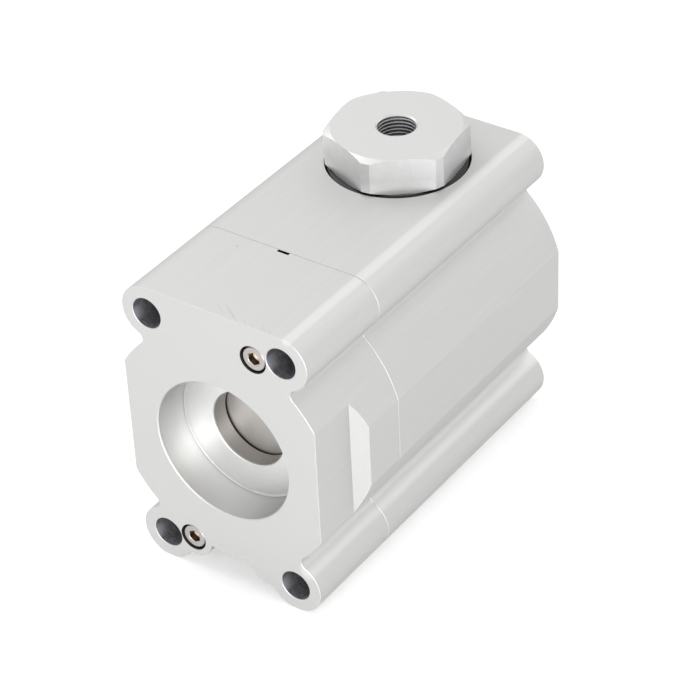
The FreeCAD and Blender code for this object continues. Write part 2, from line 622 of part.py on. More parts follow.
def orifice_jet():
    """Brass jet that lets inlet pressure into the spring chamber."""
    start_y = POCKET_Y - JET_LENGTH
    jet = rod(JET_OFFSET, JET_OFFSET, JET_R, start_y, POCKET_Y)
    half = JET_SLOT_WIDTH / 2
    driver_slot = block(JET_OFFSET - JET_R, JET_OFFSET + JET_R, POCKET_Y - JET_SLOT_DEPTH, POCKET_Y,
                        JET_OFFSET - half, JET_OFFSET + half)
    return jet.cut([rod(JET_OFFSET, JET_OFFSET, JET_HOLE_R, start_y, POCKET_Y), driver_slot])


def guide_ring(start_y):
    """Split wear ring that keeps the skirt off the bore."""
    outer = GUIDE_BORE_R - RUNNING_GAP
    inner = SKIRT_R - GUIDE_RING_DEPTH
    ring = rod(0, 0, outer, start_y, start_y + GUIDE_RING_WIDTH)
    ring = ring.cut(rod(0, 0, inner, start_y, start_y + GUIDE_RING_WIDTH))
    half = GUIDE_RING_SPLIT / 2
    split = block(-half, half, start_y, start_y + GUIDE_RING_WIDTH, 0, outer + SPARE)
    return ring.cut(split)


def piston_seal():
    return o_ring(PISTON_SEAL_Y, PISTON_SEAL_R, PISTON_SEAL_WIRE_R)


def main_spring():
    spring = coil_spring(MAIN_COIL_R, MAIN_WIRE_R, SPRING_SEAT_Y - POCKET_Y, MAIN_TURNS)
    spring.rotate(Vector(0, 0, 0), Vector(1, 0, 0), -90)
    spring.translate(Vector(0, POCKET_Y, 0))
    return spring


# Guide body

def guide_body():
    """Barrel that guides the piston, held in the flow by a ribbed flange."""
    flange_end_y = FRONT_LENGTH + FLANGE_THICKNESS
    barrel = rod(0, 0, BARREL_R, BARREL_Y, BARREL_END_Y)
    barrel = barrel.makeChamfer(BARREL_CHAMFER, end_edges(barrel, BARREL_Y))
    nose = Part.makeSphere(BARREL_R, Vector(0, 0, 0), Vector(0, 1, 0), 0, 90, 360)
    squeeze = FreeCAD.Matrix()
    squeeze.scale(Vector(1, NOSE_LENGTH / BARREL_R, 1))
    nose = nose.transformGeometry(squeeze)
    nose.translate(Vector(0, BARREL_END_Y, 0))
    rim = rod(0, 0, FLANGE_R, FRONT_LENGTH, flange_end_y)
    rim = rim.cut(rod(0, 0, FLANGE_R - FLANGE_BAND, FRONT_LENGTH, flange_end_y))
    pieces = [nose, rim]
    for i in range(RIB_COUNT):
        rib = block(-RIB_WIDTH / 2, RIB_WIDTH / 2, FRONT_LENGTH, flange_end_y,
                    BARREL_R - SPARE, FLANGE_R - FLANGE_BAND + SPARE)
        rib.rotate(Vector(0, 0, 0), Vector(0, 1, 0), 360 * i / RIB_COUNT)
        pieces.append(rib)
    solid = fused(barrel, *pieces)
    bore = turned([
        (0, BARREL_Y),
        (GUIDE_BORE_R + GUIDE_BORE_CHAMFER, BARREL_Y),
        (GUIDE_BORE_R, BARREL_Y + GUIDE_BORE_CHAMFER),
        (GUIDE_BORE_R, GUIDE_BORE_END_Y),
        (SPRING_CHAMBER_R, GUIDE_BORE_END_Y),
        (SPRING_CHAMBER_R, SPRING_SEAT_Y),
        (CROSS_PASSAGE_R, SPRING_SEAT_Y),
        (CROSS_PASSAGE_R, CAP_Y + CROSS_PASSAGE_R),
        (0, CAP_Y + CROSS_PASSAGE_R),
    ])
    socket = post(0, CAP_Y, PILOT_TUBE_R + TUBE_SLIP, TUBE_END_Z, BARREL_R + SPARE)
    way_in = post(0, CAP_Y, PILOT_TUBE_BORE_R, 0, TUBE_END_Z)
    return solid.cut([bore, socket, way_in])


# Pilot tube

def pilot_tube():
    """Flanged tube that carries chamber pressure up to the pilot valve."""
    tube = turned_up([
        (PILOT_TUBE_BORE_R, TUBE_END_Z),
        (PILOT_TUBE_R - TUBE_TIP_CHAMFER, TUBE_END_Z),
        (PILOT_TUBE_R, TUBE_END_Z + TUBE_TIP_CHAMFER),
        (PILOT_TUBE_R, PILOT_FLOOR_Z),
        (TUBE_HEAD_R, PILOT_FLOOR_Z),
        (TUBE_HEAD_R, TUBE_HEAD_TOP_Z),
        (PILOT_TUBE_BORE_R, TUBE_HEAD_TOP_Z),
    ])
    cuts = []
    groove_r = TUBE_SEAL_R - TUBE_SEAL_WIRE_R
    half = TUBE_SEAL_WIRE_R + SMALL_GROOVE_PLAY
    for z in TUBE_SEAL_PLACES:
        outside = post(0, CAP_Y, PILOT_TUBE_R + SPARE, z - half, z + half)
        cuts.append(outside.cut(post(0, CAP_Y, groove_r, z - half, z + half)))
    return tube.cut(cuts)


def tube_seal(z):
    """Small O-ring that fills the gap between the tube and its socket."""
    return upright_o_ring(z, TUBE_SEAL_R, TUBE_SEAL_WIRE_R)


# Pilot valve

def pilot_body():
    """Brass base with the pilot seat in its middle and a windowed crown round the poppet."""
    crown_r = PILOT_CROWN_BORE_R + PILOT_CROWN_WALL
    crown_top_z = PILOT_DISC_Z + PILOT_TRAVEL + PILOT_CROWN_OVERLAP
    body = turned_up([
        (TUBE_HEAD_R + TUBE_SLIP, PILOT_FLOOR_Z),
        (PILOT_BORE_R - TUBE_SLIP, PILOT_FLOOR_Z),
        (PILOT_BORE_R - TUBE_SLIP, PILOT_BASE_TOP_Z),
        (crown_r, PILOT_BASE_TOP_Z),
        (crown_r, crown_top_z),
        (PILOT_CROWN_BORE_R, crown_top_z),
        (PILOT_CROWN_BORE_R, PILOT_BASE_TOP_Z),
        (PILOT_NOSE_R, PILOT_BASE_TOP_Z),
        (PILOT_NOSE_R - PILOT_NOSE_TAPER, PILOT_SEAT_Z),
        (PILOT_TUBE_BORE_R, PILOT_SEAT_Z),
        (PILOT_TUBE_BORE_R, TUBE_HEAD_TOP_Z),
        (TUBE_HEAD_R + TUBE_SLIP, TUBE_HEAD_TOP_Z),
    ])
    cuts = [upright_groove(PILOT_FLOOR_Z, PILOT_SEAL_R, PILOT_SEAL_WIRE_R)]
    half = PILOT_WINDOW_WIDTH / 2
    for i in range(PILOT_WINDOWS):
        window = block(PILOT_CROWN_BORE_R - SPARE, crown_r + SPARE, CAP_Y - half, CAP_Y + half,
                       PILOT_BASE_TOP_Z + PILOT_WINDOW_SILL, crown_top_z)
        window.rotate(Vector(0, CAP_Y, 0), Vector(0, 0, 1), 360 * (i + 0.5) / PILOT_WINDOWS)
        cuts.append(window)
    return body.cut(cuts)


def upright_groove(floor_z, radius, wire_r):
    """O-ring groove in the underside of a part that sits on a floor."""
    half = wire_r + SMALL_GROOVE_PLAY
    top_z = floor_z + 2 * wire_r
    outside = post(0, CAP_Y, radius + half, floor_z, top_z)
    return outside.cut(post(0, CAP_Y, radius - half, floor_z, top_z))


def pilot_body_seal():
    return upright_o_ring(PILOT_FLOOR_Z + PILOT_SEAL_WIRE_R, PILOT_SEAL_R, PILOT_SEAL_WIRE_R)


def pilot_poppet():
    """Small guided disc that the pilot spring holds down on its seat."""
    disc_r = PILOT_CROWN_BORE_R - RUNNING_GAP
    facing_top_z = PILOT_SEAT_Z + PILOT_FACING_THICKNESS
    spigot_top_z = PILOT_DISC_TOP_Z + PILOT_SPIGOT_HEIGHT
    return turned_up([
        (0, facing_top_z),
        (PILOT_FACING_R, facing_top_z),
        (PILOT_FACING_R, PILOT_HUB_Z),
        (PILOT_HUB_R, PILOT_HUB_Z),
        (PILOT_HUB_R, PILOT_DISC_Z),
        (disc_r, PILOT_DISC_Z),
        (disc_r, PILOT_DISC_TOP_Z),
        (PILOT_SPIGOT_R, PILOT_DISC_TOP_Z),
        (PILOT_SPIGOT_R - PILOT_SPIGOT_TAPER, spigot_top_z),
        (0, spigot_top_z),
    ])


def pilot_poppet_seal():
    """Rubber facing under the poppet."""
    return post(0, CAP_Y, PILOT_FACING_R, PILOT_SEAT_Z, PILOT_SEAT_Z + PILOT_FACING_THICKNESS)


def pilot_spring():
    length = SHIM_Z - PILOT_DISC_TOP_Z
    spring = coil_spring(PILOT_SPRING_R, PILOT_SPRING_WIRE_R, length, PILOT_SPRING_TURNS)
    spring.translate(Vector(0, CAP_Y, PILOT_DISC_TOP_Z))
    return spring


def spring_shim():
    """Washer that sets the load of the pilot spring."""
    shim = post(0, CAP_Y, PILOT_CROWN_BORE_R, SHIM_Z, CAP_CAVITY_TOP_Z)
    return shim.cut(post(0, CAP_Y, PILOT_SPIGOT_R + SHIM_HOLE_GAP, SHIM_Z, CAP_CAVITY_TOP_Z))


# Cap

def hex_cap():
    """Hex plug with its corners turned off and a threaded exhaust hole."""
    hexagon = hex_bar(HEX_FLAT_R, HEX_HEIGHT)
    hexagon.rotate(Vector(0, 0, 0), Vector(0, 0, 1), CAP_TURN)
    hexagon.translate(Vector(0, CAP_Y, HEX_Z))
    turned_limit = turned_up([
        (0, HEX_Z),
        (HEX_CHAMFER_R, HEX_Z),
        (HEX_CORNER_R, HEX_Z + HEX_CHAMFER_DROP),
        (HEX_CORNER_R, CAP_TOP_Z - HEX_CHAMFER_DROP),
        (HEX_CHAMFER_R, CAP_TOP_Z),
        (0, CAP_TOP_Z),
    ])
    tip_r = PILOT_BORE_R - TUBE_SLIP
    thread_start_z = PILOT_BASE_TOP_Z + CAP_THREAD_SPARE
    spigot = turned_up([
        (0, PILOT_BASE_TOP_Z),
        (tip_r, PILOT_BASE_TOP_Z),
        (tip_r, thread_start_z),
        (CAP_THREAD_R, thread_start_z + CAP_TIP_CHAMFER),
        (CAP_THREAD_R, HEX_Z),
        (0, HEX_Z),
    ])
    cap = hexagon.common(turned_limit).fuse(spigot).removeSplitter()
    inside = turned_up([
        (0, PILOT_BASE_TOP_Z),
        (CAP_CAVITY_R, PILOT_BASE_TOP_Z),
        (CAP_CAVITY_R, CAP_CAVITY_TOP_Z),
        (EXHAUST_R, CAP_CAVITY_TOP_Z),
        (EXHAUST_R, CAP_TOP_Z - EXHAUST_CHAMFER),
        (EXHAUST_R + EXHAUST_CHAMFER, CAP_TOP_Z),
        (0, CAP_TOP_Z),
    ])
    return cap.cut(inside)


def cap_seal():
    """O-ring squeezed between the hex and its recess in the housing."""
    return upright_o_ring(CAP_SEAL_Z, CAP_SEAL_R, CAP_SEAL_WIRE_R)


# Seam fastenings

def clamp_screw(x, z):
    """M5 socket head screw through the front housing."""
    head = rod(x, z, SCREW_HEAD_R, SCREW_RECESS, HEAD_SEAT_Y)
    head = head.makeChamfer(SCREW_HEAD_CHAMFER, end_edges(head, SCREW_RECESS))
    shank = rod(x, z, SCREW_R, HEAD_SEAT_Y, SCREW_END_Y)
    shank = shank.makeChamfer(SCREW_HEAD_CHAMFER, end_edges(shank, SCREW_END_Y))
    socket = hex_bar(SCREW_SOCKET_WIDTH / 2, SCREW_SOCKET_DEPTH)
    socket.rotate(Vector(0, 0, 0), Vector(1, 0, 0), -90)
    socket.translate(Vector(x, SCREW_RECESS, z))
    way = Vector(0, 1, 0)
    tip_start = Vector(x, SCREW_RECESS + SCREW_SOCKET_DEPTH, z)
    tip = Part.makeCone(SCREW_SOCKET_WIDTH / 2, 0, SCREW_SOCKET_TIP, tip_start, way)
    corner_r = SCREW_SOCKET_WIDTH / math.sqrt(3)
    mouth = Part.makeCone(corner_r + SCREW_SOCKET_CHAMFER / 2, corner_r - SCREW_SOCKET_CHAMFER / 2,
                          SCREW_SOCKET_CHAMFER, Vector(x, SCREW_RECESS, z), way)
    return fused(head, shank).cut([socket, tip, mouth])


def alignment_pin(x, z):
    half = PIN_LENGTH / 2
    pin = rod(x, z, PIN_R, FRONT_LENGTH - half, FRONT_LENGTH + half)
    ends = end_edges(pin, FRONT_LENGTH - half) + end_edges(pin, FRONT_LENGTH + half)
    return pin.makeChamfer(PIN_CHAMFER, ends)


def housing_seal():
    return o_ring(FRONT_LENGTH + HOUSING_SEAL_WIRE_R, HOUSING_SEAL_R, HOUSING_SEAL_WIRE_R)


def all_pieces():
    return {
        "front_housing": front_housing(),
        "rear_housing": rear_housing(),
        "housing_seal": housing_seal(),
        "clamp_screw_upper": clamp_screw(*SCREW_PLACES[0]),
        "clamp_screw_lower": clamp_screw(*SCREW_PLACES[1]),
        "alignment_pin_upper": alignment_pin(*PIN_PLACES[0]),
        "alignment_pin_lower": alignment_pin(*PIN_PLACES[1]),
        "seat_ring": seat_ring(),
        "seat_ring_seal": seat_ring_seal(),
        "valve_piston": valve_piston(),
        "poppet_seal": poppet_seal(),
        "orifice_jet": orifice_jet(),
        "guide_ring_front": guide_ring(GUIDE_RING_STARTS[0]),
        "guide_ring_rear": guide_ring(GUIDE_RING_STARTS[1]),
        "piston_seal": piston_seal(),
        "main_spring": main_spring(),
        "guide_body": guide_body(),
        "pilot_tube": pilot_tube(),
        "tube_lower_seal": tube_seal(TUBE_SEAL_PLACES[0]),
        "tube_upper_seal": tube_seal(TUBE_SEAL_PLACES[1]),
        "pilot_body": pilot_body(),
        "pilot_body_seal": pilot_body_seal(),
        "pilot_poppet": pilot_poppet(),
        "pilot_poppet_seal": pilot_poppet_seal(),
        "pilot_spring": pilot_spring(),
        "spring_shim": spring_shim(),
        "hex_cap": hex_cap(),
        "cap_seal": cap_seal(),
    }


def main():
    os.makedirs("parts", exist_ok=True)
    for name, shape in all_pieces().items():
        shape.exportStep(f"parts/{name}.step")
        solids = len(shape.Solids)
        print(f"{name}: {solids} solid, {shape.Volume:.1f} mm3, valid {shape.isValid()}")


main()
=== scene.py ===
# %% [markdown]
# # Pressure regulator valve
# A pilot-operated piston valve in a split aluminium housing, as a product photograph shows it:
# satin anodised metal on white, seen from above and to the right. The solid pieces come from
# the CAD model. This notebook gives them their finishes, makes the springs and the internal
# thread with Geometry Nodes, and sets up the light and the camera.

import json
import math

import bpy
from mathutils import Matrix, Vector


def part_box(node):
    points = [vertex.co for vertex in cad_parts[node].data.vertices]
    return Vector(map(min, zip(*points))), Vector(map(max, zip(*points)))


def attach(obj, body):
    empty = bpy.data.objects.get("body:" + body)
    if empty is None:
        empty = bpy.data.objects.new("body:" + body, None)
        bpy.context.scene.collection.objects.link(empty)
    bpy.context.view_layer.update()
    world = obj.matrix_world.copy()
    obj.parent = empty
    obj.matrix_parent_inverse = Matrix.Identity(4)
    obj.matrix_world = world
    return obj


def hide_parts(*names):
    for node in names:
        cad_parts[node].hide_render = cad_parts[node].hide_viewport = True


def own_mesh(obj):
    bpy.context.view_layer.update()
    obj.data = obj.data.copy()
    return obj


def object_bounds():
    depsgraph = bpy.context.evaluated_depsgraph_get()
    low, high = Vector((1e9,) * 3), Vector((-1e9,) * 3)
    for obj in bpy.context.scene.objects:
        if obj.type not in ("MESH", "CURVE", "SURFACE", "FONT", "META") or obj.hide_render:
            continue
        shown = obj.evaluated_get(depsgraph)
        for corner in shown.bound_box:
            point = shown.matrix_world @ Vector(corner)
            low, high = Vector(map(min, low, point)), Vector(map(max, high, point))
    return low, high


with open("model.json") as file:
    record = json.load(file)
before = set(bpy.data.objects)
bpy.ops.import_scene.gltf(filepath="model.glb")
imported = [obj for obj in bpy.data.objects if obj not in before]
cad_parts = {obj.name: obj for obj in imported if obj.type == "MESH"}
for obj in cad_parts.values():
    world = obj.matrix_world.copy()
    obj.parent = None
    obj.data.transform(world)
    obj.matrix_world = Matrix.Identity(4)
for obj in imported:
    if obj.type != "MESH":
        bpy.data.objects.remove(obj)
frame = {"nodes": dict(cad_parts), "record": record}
nodes = frame["nodes"]
record = frame["record"]
cad_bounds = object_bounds()
MM = 0.001
print(f"{len(nodes)} CAD nodes loaded")

# %% [markdown]
# ## Two small helpers
# Colours are written as the sRGB hex values that a colour picker shows, and shaders want
# linear light, so one function converts them. The other adds a node to any node tree: it sets
# the node's properties and fills each input, with a link where the value is another socket.

# %% Helpers
def linear(code):
    """Turns a hex colour such as "#c0c0c0" into linear RGBA."""
    channels = []
    for i in (1, 3, 5):
        value = int(code[i:i + 2], 16) / 255
        channels.append(value / 12.92 if value <= 0.04045 else ((value + 0.055) / 1.055) ** 2.4)
    return (*channels, 1.0)


def add(tree, kind, inputs=None, **settings):
    """Adds a node, sets its properties and fills or links its inputs."""
    node = tree.nodes.new(kind)
    for name, value in settings.items():
        setattr(node, name, value)
    for key, value in (inputs or {}).items():
        if isinstance(value, bpy.types.NodeSocket):
            tree.links.new(value, node.inputs[key])
        else:
            node.inputs[key].default_value = value
    return node


# %% [markdown]
# ## The sizes that the patterns need
# A finish such as a dark drilled hole belongs to a place on the part. The record and the boxes
# of the CAD nodes say where that is, so that the masks below follow the model. What neither of
# them gives, such as the depth of the port, is written below as the CAD model has it.

# %% Measured places, in millimetres
def size_of(node):
    """The lowest and the highest corner of a node's box, in millimetres."""
    low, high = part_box(node)
    return [value / MM for value in low], [value / MM for value in high]


mounts = {mount["name"]: mount for mount in record["mounts"]}
bolts = mounts["tie_bolts"]["dims"]
BOLT_X = bolts["spacing_x_mm"] / 2
BOLT_Z = bolts["spacing_y_mm"] / 2
BOLT_HOLE_R = bolts["hole_r_mm"]
PORT_R = mounts["inlet_port"]["dims"]["r_mm"]
EXHAUST_R = mounts["exhaust_port"]["dims"]["r_mm"]

front_corner = size_of("front_housing")[1]
screw_low, screw_high = size_of("clamp_screw_upper")
SEAM_Y = front_corner[1]
LENGTH = size_of("rear_housing")[1][1]
TOP_Z = front_corner[2]
SCREW_X = (screw_low[0] + screw_high[0]) / 2
SCREW_Z = (screw_low[2] + screw_high[2]) / 2
CAP_Y = mounts["exhaust_port"]["pos_m"][1] / MM
CAP_TOP_Z = size_of("hex_cap")[1][2]
print(f"seam at {SEAM_Y:.1f}, length {LENGTH:.1f}, top at {TOP_Z:.2f}, "
      f"cap top at {CAP_TOP_Z:.2f} mm")

# %% [markdown]
# ## Starting a finish
# Every finish below is a Principled shader whose colour, roughness and bump come from patterns
# on Object coordinates. One unit of those is a metre, so they are multiplied by 1000 first and
# every pattern size after that is in millimetres. A Mix node has sockets for several kinds of
# data: its inputs 6 and 7 are the two colours that it mixes, and its output 2 is the result.

# %% A material with millimetre coordinates
def start_finish(name, metallic, roughness):
    """An empty material: returns its tree, its shader and its coordinates in millimetres."""
    material = bpy.data.materials.new(name)
    material.use_nodes = True
    tree = material.node_tree
    tree.nodes.clear()
    shader = add(tree, "ShaderNodeBsdfPrincipled", {
        "Metallic": metallic, "Roughness": roughness})
    add(tree, "ShaderNodeOutputMaterial", {"Surface": shader.outputs["BSDF"]})
    place = add(tree, "ShaderNodeTexCoord").outputs["Object"]
    mm = add(tree, "ShaderNodeVectorMath", {0: place, "Scale": 1 / MM}, operation="SCALE")
    return material, tree, shader, mm.outputs[0]


# %% [markdown]
# ## Clear anodised aluminium
# The housing is milled from bar, bead blasted very finely and anodised clear. To the eye it is
# a pale satin grey with faint streaks along its length. Most of the finish could be one flat
# grey, but the same piece has other surfaces: drilled holes, counterbores, a turned port, cut
# chamfers. The holes, the counterbores, the weep slot, the port's corner and the seam on the
# top get painted shade, and the chamfers and two bands of the skin get painted highlights.
# Masks on the coordinates put each in its place.

# %% Housing: satin skin with lengthwise streaks
SKIN_ROUGHNESS = 0.62
STREAK_WIDTH = 0.7      # across the streaks
STREAK_LENGTH = 45.0    # along the streaks
housing_finish, tree, shader, mm = start_finish(
    "clear anodised aluminium, satin", 1.0, SKIN_ROUGHNESS)
# The grey tint holds back the white rim that bare metal has where it is seen edge on.
shader.inputs["Specular Tint"].default_value = linear("#909090")
streak_place = add(tree, "ShaderNodeMapping", {
    "Vector": mm, "Scale": (1 / STREAK_WIDTH, 1 / STREAK_LENGTH, 1 / STREAK_WIDTH)})
streaks = add(tree, "ShaderNodeTexNoise", {
    "Vector": streak_place.outputs[0], "Scale": 1.0, "Detail": 3.0, "Roughness": 0.6})
skin = add(tree, "ShaderNodeMix", {
    "Factor": streaks.outputs["Fac"], 6: linear("#c9c9c8"), 7: linear("#d1d1d0")},
    data_type="RGBA")
print(f"streaks {STREAK_WIDTH} mm wide and {STREAK_LENGTH} mm long")

# %% Housing: blasted grain
GRAIN_WIDTH = 0.35      # really about 0.1 mm, drawn wider so that the render can show it
GRAIN_DEPTH = 0.02
grain = add(tree, "ShaderNodeTexNoise", {"Vector": mm, "Scale": 1 / GRAIN_WIDTH, "Detail": 2.0})
grain_bump = add(tree, "ShaderNodeBump", {
    "Height": grain.outputs["Fac"], "Strength": 0.06, "Distance": GRAIN_DEPTH * MM})
tree.links.new(grain_bump.outputs[0], shader.inputs["Normal"])
print(f"grain {GRAIN_WIDTH} mm wide and {GRAIN_DEPTH} mm deep")

# %% [markdown]
# Most masks ask how far a point is from an axis that runs along the valve. Multiplying the
# depth by zero flattens the coordinates onto the cross-section, where such an axis is a point.
# The four bolt holes lie in mirrored places, so absolute values fold them onto one.

# %% Housing: distances from the axes
parts = add(tree, "ShaderNodeSeparateXYZ", {0: mm})
flat = add(tree, "ShaderNodeVectorMath", {0: mm, 1: (1, 0, 1)}, operation="MULTIPLY")
from_axis = add(tree, "ShaderNodeVectorMath", {0: flat.outputs[0]}, operation="LENGTH")
folded = add(tree, "ShaderNodeVectorMath", {0: flat.outputs[0]}, operation="ABSOLUTE")
from_bolt = add(tree, "ShaderNodeVectorMath", {
    0: folded.outputs[0], 1: (BOLT_X, 0, BOLT_Z)}, operation="DISTANCE")


def from_nearer_screw(tree, flat):
    """The distance from the axis of the nearer clamp screw. They lie on one diagonal."""
    upper, lower = (add(tree, "ShaderNodeVectorMath", {
        0: flat.outputs[0], 1: (side * SCREW_X, 0, side * SCREW_Z)}, operation="DISTANCE")
        for side in (1, -1))
    return add(tree, "ShaderNodeMath", {
        0: upper.outputs["Value"], 1: lower.outputs["Value"]}, operation="MINIMUM")


from_screw = from_nearer_screw(tree, flat)
print(f"bolt holes at {BOLT_X:.2f}, {BOLT_Z:.2f} mm, screws at {SCREW_X:.2f}, {SCREW_Z:.2f} mm")

# %% [markdown]
# Two painted highlights lighten the skin along two lines on the right: the shoulder of the
# upper tube, and the lower tube next to the valley between it and the body. Each line is a
# point in the cross-section, and the lighter band fades with the distance from it.

# %% Housing: painted highlights on the shoulders
HIGHLIGHT_BANDS = [   # middle, reach, strength
    ((BOLT_X + 2.7, 0, TOP_Z - 0.4), 2.4, 0.5),
    ((BOLT_X + 5.3, 0, 8.1 - BOLT_Z), 3.8, 0.62),
]
HIGHLIGHT_CORE = 0.3       # the share of the reach that gets the full painted highlight
skin_colour = skin.outputs[2]
for middle, reach, strength in HIGHLIGHT_BANDS:
    away = add(tree, "ShaderNodeVectorMath", {0: flat.outputs[0], 1: middle},
               operation="DISTANCE")
    band = add(tree, "ShaderNodeMapRange", {
        "Value": away.outputs["Value"], "From Min": reach, "From Max": reach * HIGHLIGHT_CORE,
        "To Max": strength}, interpolation_type="SMOOTHSTEP")
    skin_colour = add(tree, "ShaderNodeMix", {
        "Factor": band.outputs[0], 6: skin_colour, 7: linear("#e6e6e5")},
        data_type="RGBA").outputs[2]
print(f"{len(HIGHLIGHT_BANDS)} rubbed shoulders")

# %% [markdown]
# The port is turned on a lathe, so its marks are rings round the axis. Noise that reads only
# the distance from the axis and the depth gives such rings. The cutter's feed is about 0.1 mm,
# too fine to show, so the rings are drawn about four times as wide. The round corner between
# the floor and the wall is painted darker as painted shade.

# %% Housing: turned port
PORT_FLOOR_Y = 14.0
TURNED_ROUGHNESS = 0.48
RING_WIDTH = 0.45
CORNER_IN = 0.25        # from the wall and from the floor to the middle of the corner
CORNER_SHADE_REACH = 0.6       # how far the painted shade reaches
CORNER_SHADE_CORE = 0.3
ON_WALL = 0.01          # what lies past a wall by less than this still belongs to it
ring_place = add(tree, "ShaderNodeCombineXYZ", {
    "X": from_axis.outputs["Value"], "Y": parts.outputs["Y"]})
rings = add(tree, "ShaderNodeTexNoise", {
    "Vector": ring_place.outputs[0], "Scale": 1 / RING_WIDTH, "Detail": 2.0,
    "Roughness": 0.7})
turned = add(tree, "ShaderNodeMix", {
    "Factor": rings.outputs["Fac"], 6: linear("#d6d6d5"), 7: linear("#e2e2e1")},
    data_type="RGBA")
in_port = add(tree, "ShaderNodeMath", {
    0: from_axis.outputs["Value"], 1: PORT_R + ON_WALL}, operation="LESS_THAN")
# Painted shade: the round corner between floor and wall is painted darker.
corner = add(tree, "ShaderNodeVectorMath", {
    0: ring_place.outputs[0], 1: (PORT_R - CORNER_IN, PORT_FLOOR_Y - CORNER_IN, 0)},
    operation="DISTANCE")
corner_shade = add(tree, "ShaderNodeMapRange", {
    "Value": corner.outputs["Value"], "From Min": CORNER_SHADE_REACH, "From Max": CORNER_SHADE_CORE})
turned = add(tree, "ShaderNodeMix", {
    "Factor": corner_shade.outputs[0], 6: turned.outputs[2], 7: linear("#bebebd")},
    data_type="RGBA")
print(f"port turned to radius {PORT_R:.2f} mm and depth {PORT_FLOOR_Y:.2f} mm")

# %% Housing: skin or port
with_port = add(tree, "ShaderNodeMix", {
    "Factor": in_port.outputs[0], 6: skin_colour, 7: turned.outputs[2]}, data_type="RGBA")
gloss = add(tree, "ShaderNodeMapRange", {
    "Value": in_port.outputs[0], "To Min": SKIN_ROUGHNESS, "To Max": TURNED_ROUGHNESS})
tree.links.new(gloss.outputs[0], shader.inputs["Roughness"])
print(f"roughness {TURNED_ROUGHNESS} in the port and {SKIN_ROUGHNESS} elsewhere")

# %% [markdown]
# The lips of the port, the throat and the bolt holes get a painted highlight. A lip is found by
# its place: it lies in the last fraction of a millimetre before an end face, and just outside
# the wall that it belongs to. Compare gives 1 within a distance of a middle value, so each band
# is written as its middle and half its width.

# %% Housing: lips for the painted highlight, by where they are
THROAT_R = 14.05
END_EDGE = 0.3          # how deep the lips go from an end face
PORT_LIP = 0.22         # from the port's wall to the middle of its lip
PORT_LIP_HALF = 0.2
THROAT_LIP = 0.16       # from the throat's wall, and from the port's floor
THROAT_LIP_HALF = 0.14
past_edges = add(tree, "ShaderNodeMath", {
    0: parts.outputs["Y"], 1: LENGTH / 2, 2: LENGTH / 2 - END_EDGE}, operation="COMPARE")
off_faces = add(tree, "ShaderNodeMath", {
    0: parts.outputs["Y"], 1: LENGTH / 2, 2: LENGTH / 2 - ON_WALL}, operation="COMPARE")
end_band = add(tree, "ShaderNodeMath", {
    0: off_faces.outputs[0], 1: past_edges.outputs[0]}, operation="SUBTRACT")
port_lip = add(tree, "ShaderNodeMath", {
    0: from_axis.outputs["Value"], 1: PORT_R + PORT_LIP, 2: PORT_LIP_HALF},
    operation="COMPARE")
hole_lip = add(tree, "ShaderNodeMath", {
    0: from_bolt.outputs["Value"], 1: BOLT_HOLE_R + END_EDGE}, operation="LESS_THAN")
lips = add(tree, "ShaderNodeMath", {0: port_lip.outputs[0], 1: hole_lip.outputs[0]},
           operation="MAXIMUM")
end_lips = add(tree, "ShaderNodeMath", {0: end_band.outputs[0], 1: lips.outputs[0]},
               operation="MULTIPLY")
throat_ring = add(tree, "ShaderNodeMath", {
    0: from_axis.outputs["Value"], 1: THROAT_R + THROAT_LIP, 2: THROAT_LIP_HALF},
    operation="COMPARE")
throat_depth = add(tree, "ShaderNodeMath", {
    0: parts.outputs["Y"], 1: PORT_FLOOR_Y + THROAT_LIP, 2: THROAT_LIP_HALF},
    operation="COMPARE")
throat_edge = add(tree, "ShaderNodeMath", {
    0: throat_ring.outputs[0], 1: throat_depth.outputs[0]}, operation="MULTIPLY")
cut = add(tree, "ShaderNodeMath", {0: end_lips.outputs[0], 1: throat_edge.outputs[0]},
          operation="MAXIMUM")
print(f"lips cut {END_EDGE} mm deep")

# %% [markdown]
# The painted highlight goes on the lips where they face forward and to the right, and they stay
# as grey as the skin elsewhere. The object's own normal tells the two apart. On the top face
# the seam's edge gets a line of painted shade instead.

# %% Housing: painted highlight on the lips
HIGHLIGHT_FACING = (0.71, -0.61, 0.35)     # the way that the lips with the brightest painted highlight face
normal = add(tree, "ShaderNodeTexCoord").outputs["Normal"]
toward = add(tree, "ShaderNodeVectorMath", {0: normal, 1: HIGHLIGHT_FACING},
             operation="DOT_PRODUCT")
glint = add(tree, "ShaderNodeMapRange", {
    "Value": toward.outputs["Value"], "From Min": 0.74, "From Max": 0.9})
bright = add(tree, "ShaderNodeMath", {0: cut.outputs[0], 1: glint.outputs[0]},
             operation="MULTIPLY")
with_lip_highlight = add(tree, "ShaderNodeMix", {
    "Factor": bright.outputs[0], 6: with_port.outputs[2], 7: linear("#d8d8d7")},
    data_type="RGBA")
print("the brightest lips face", HIGHLIGHT_FACING)

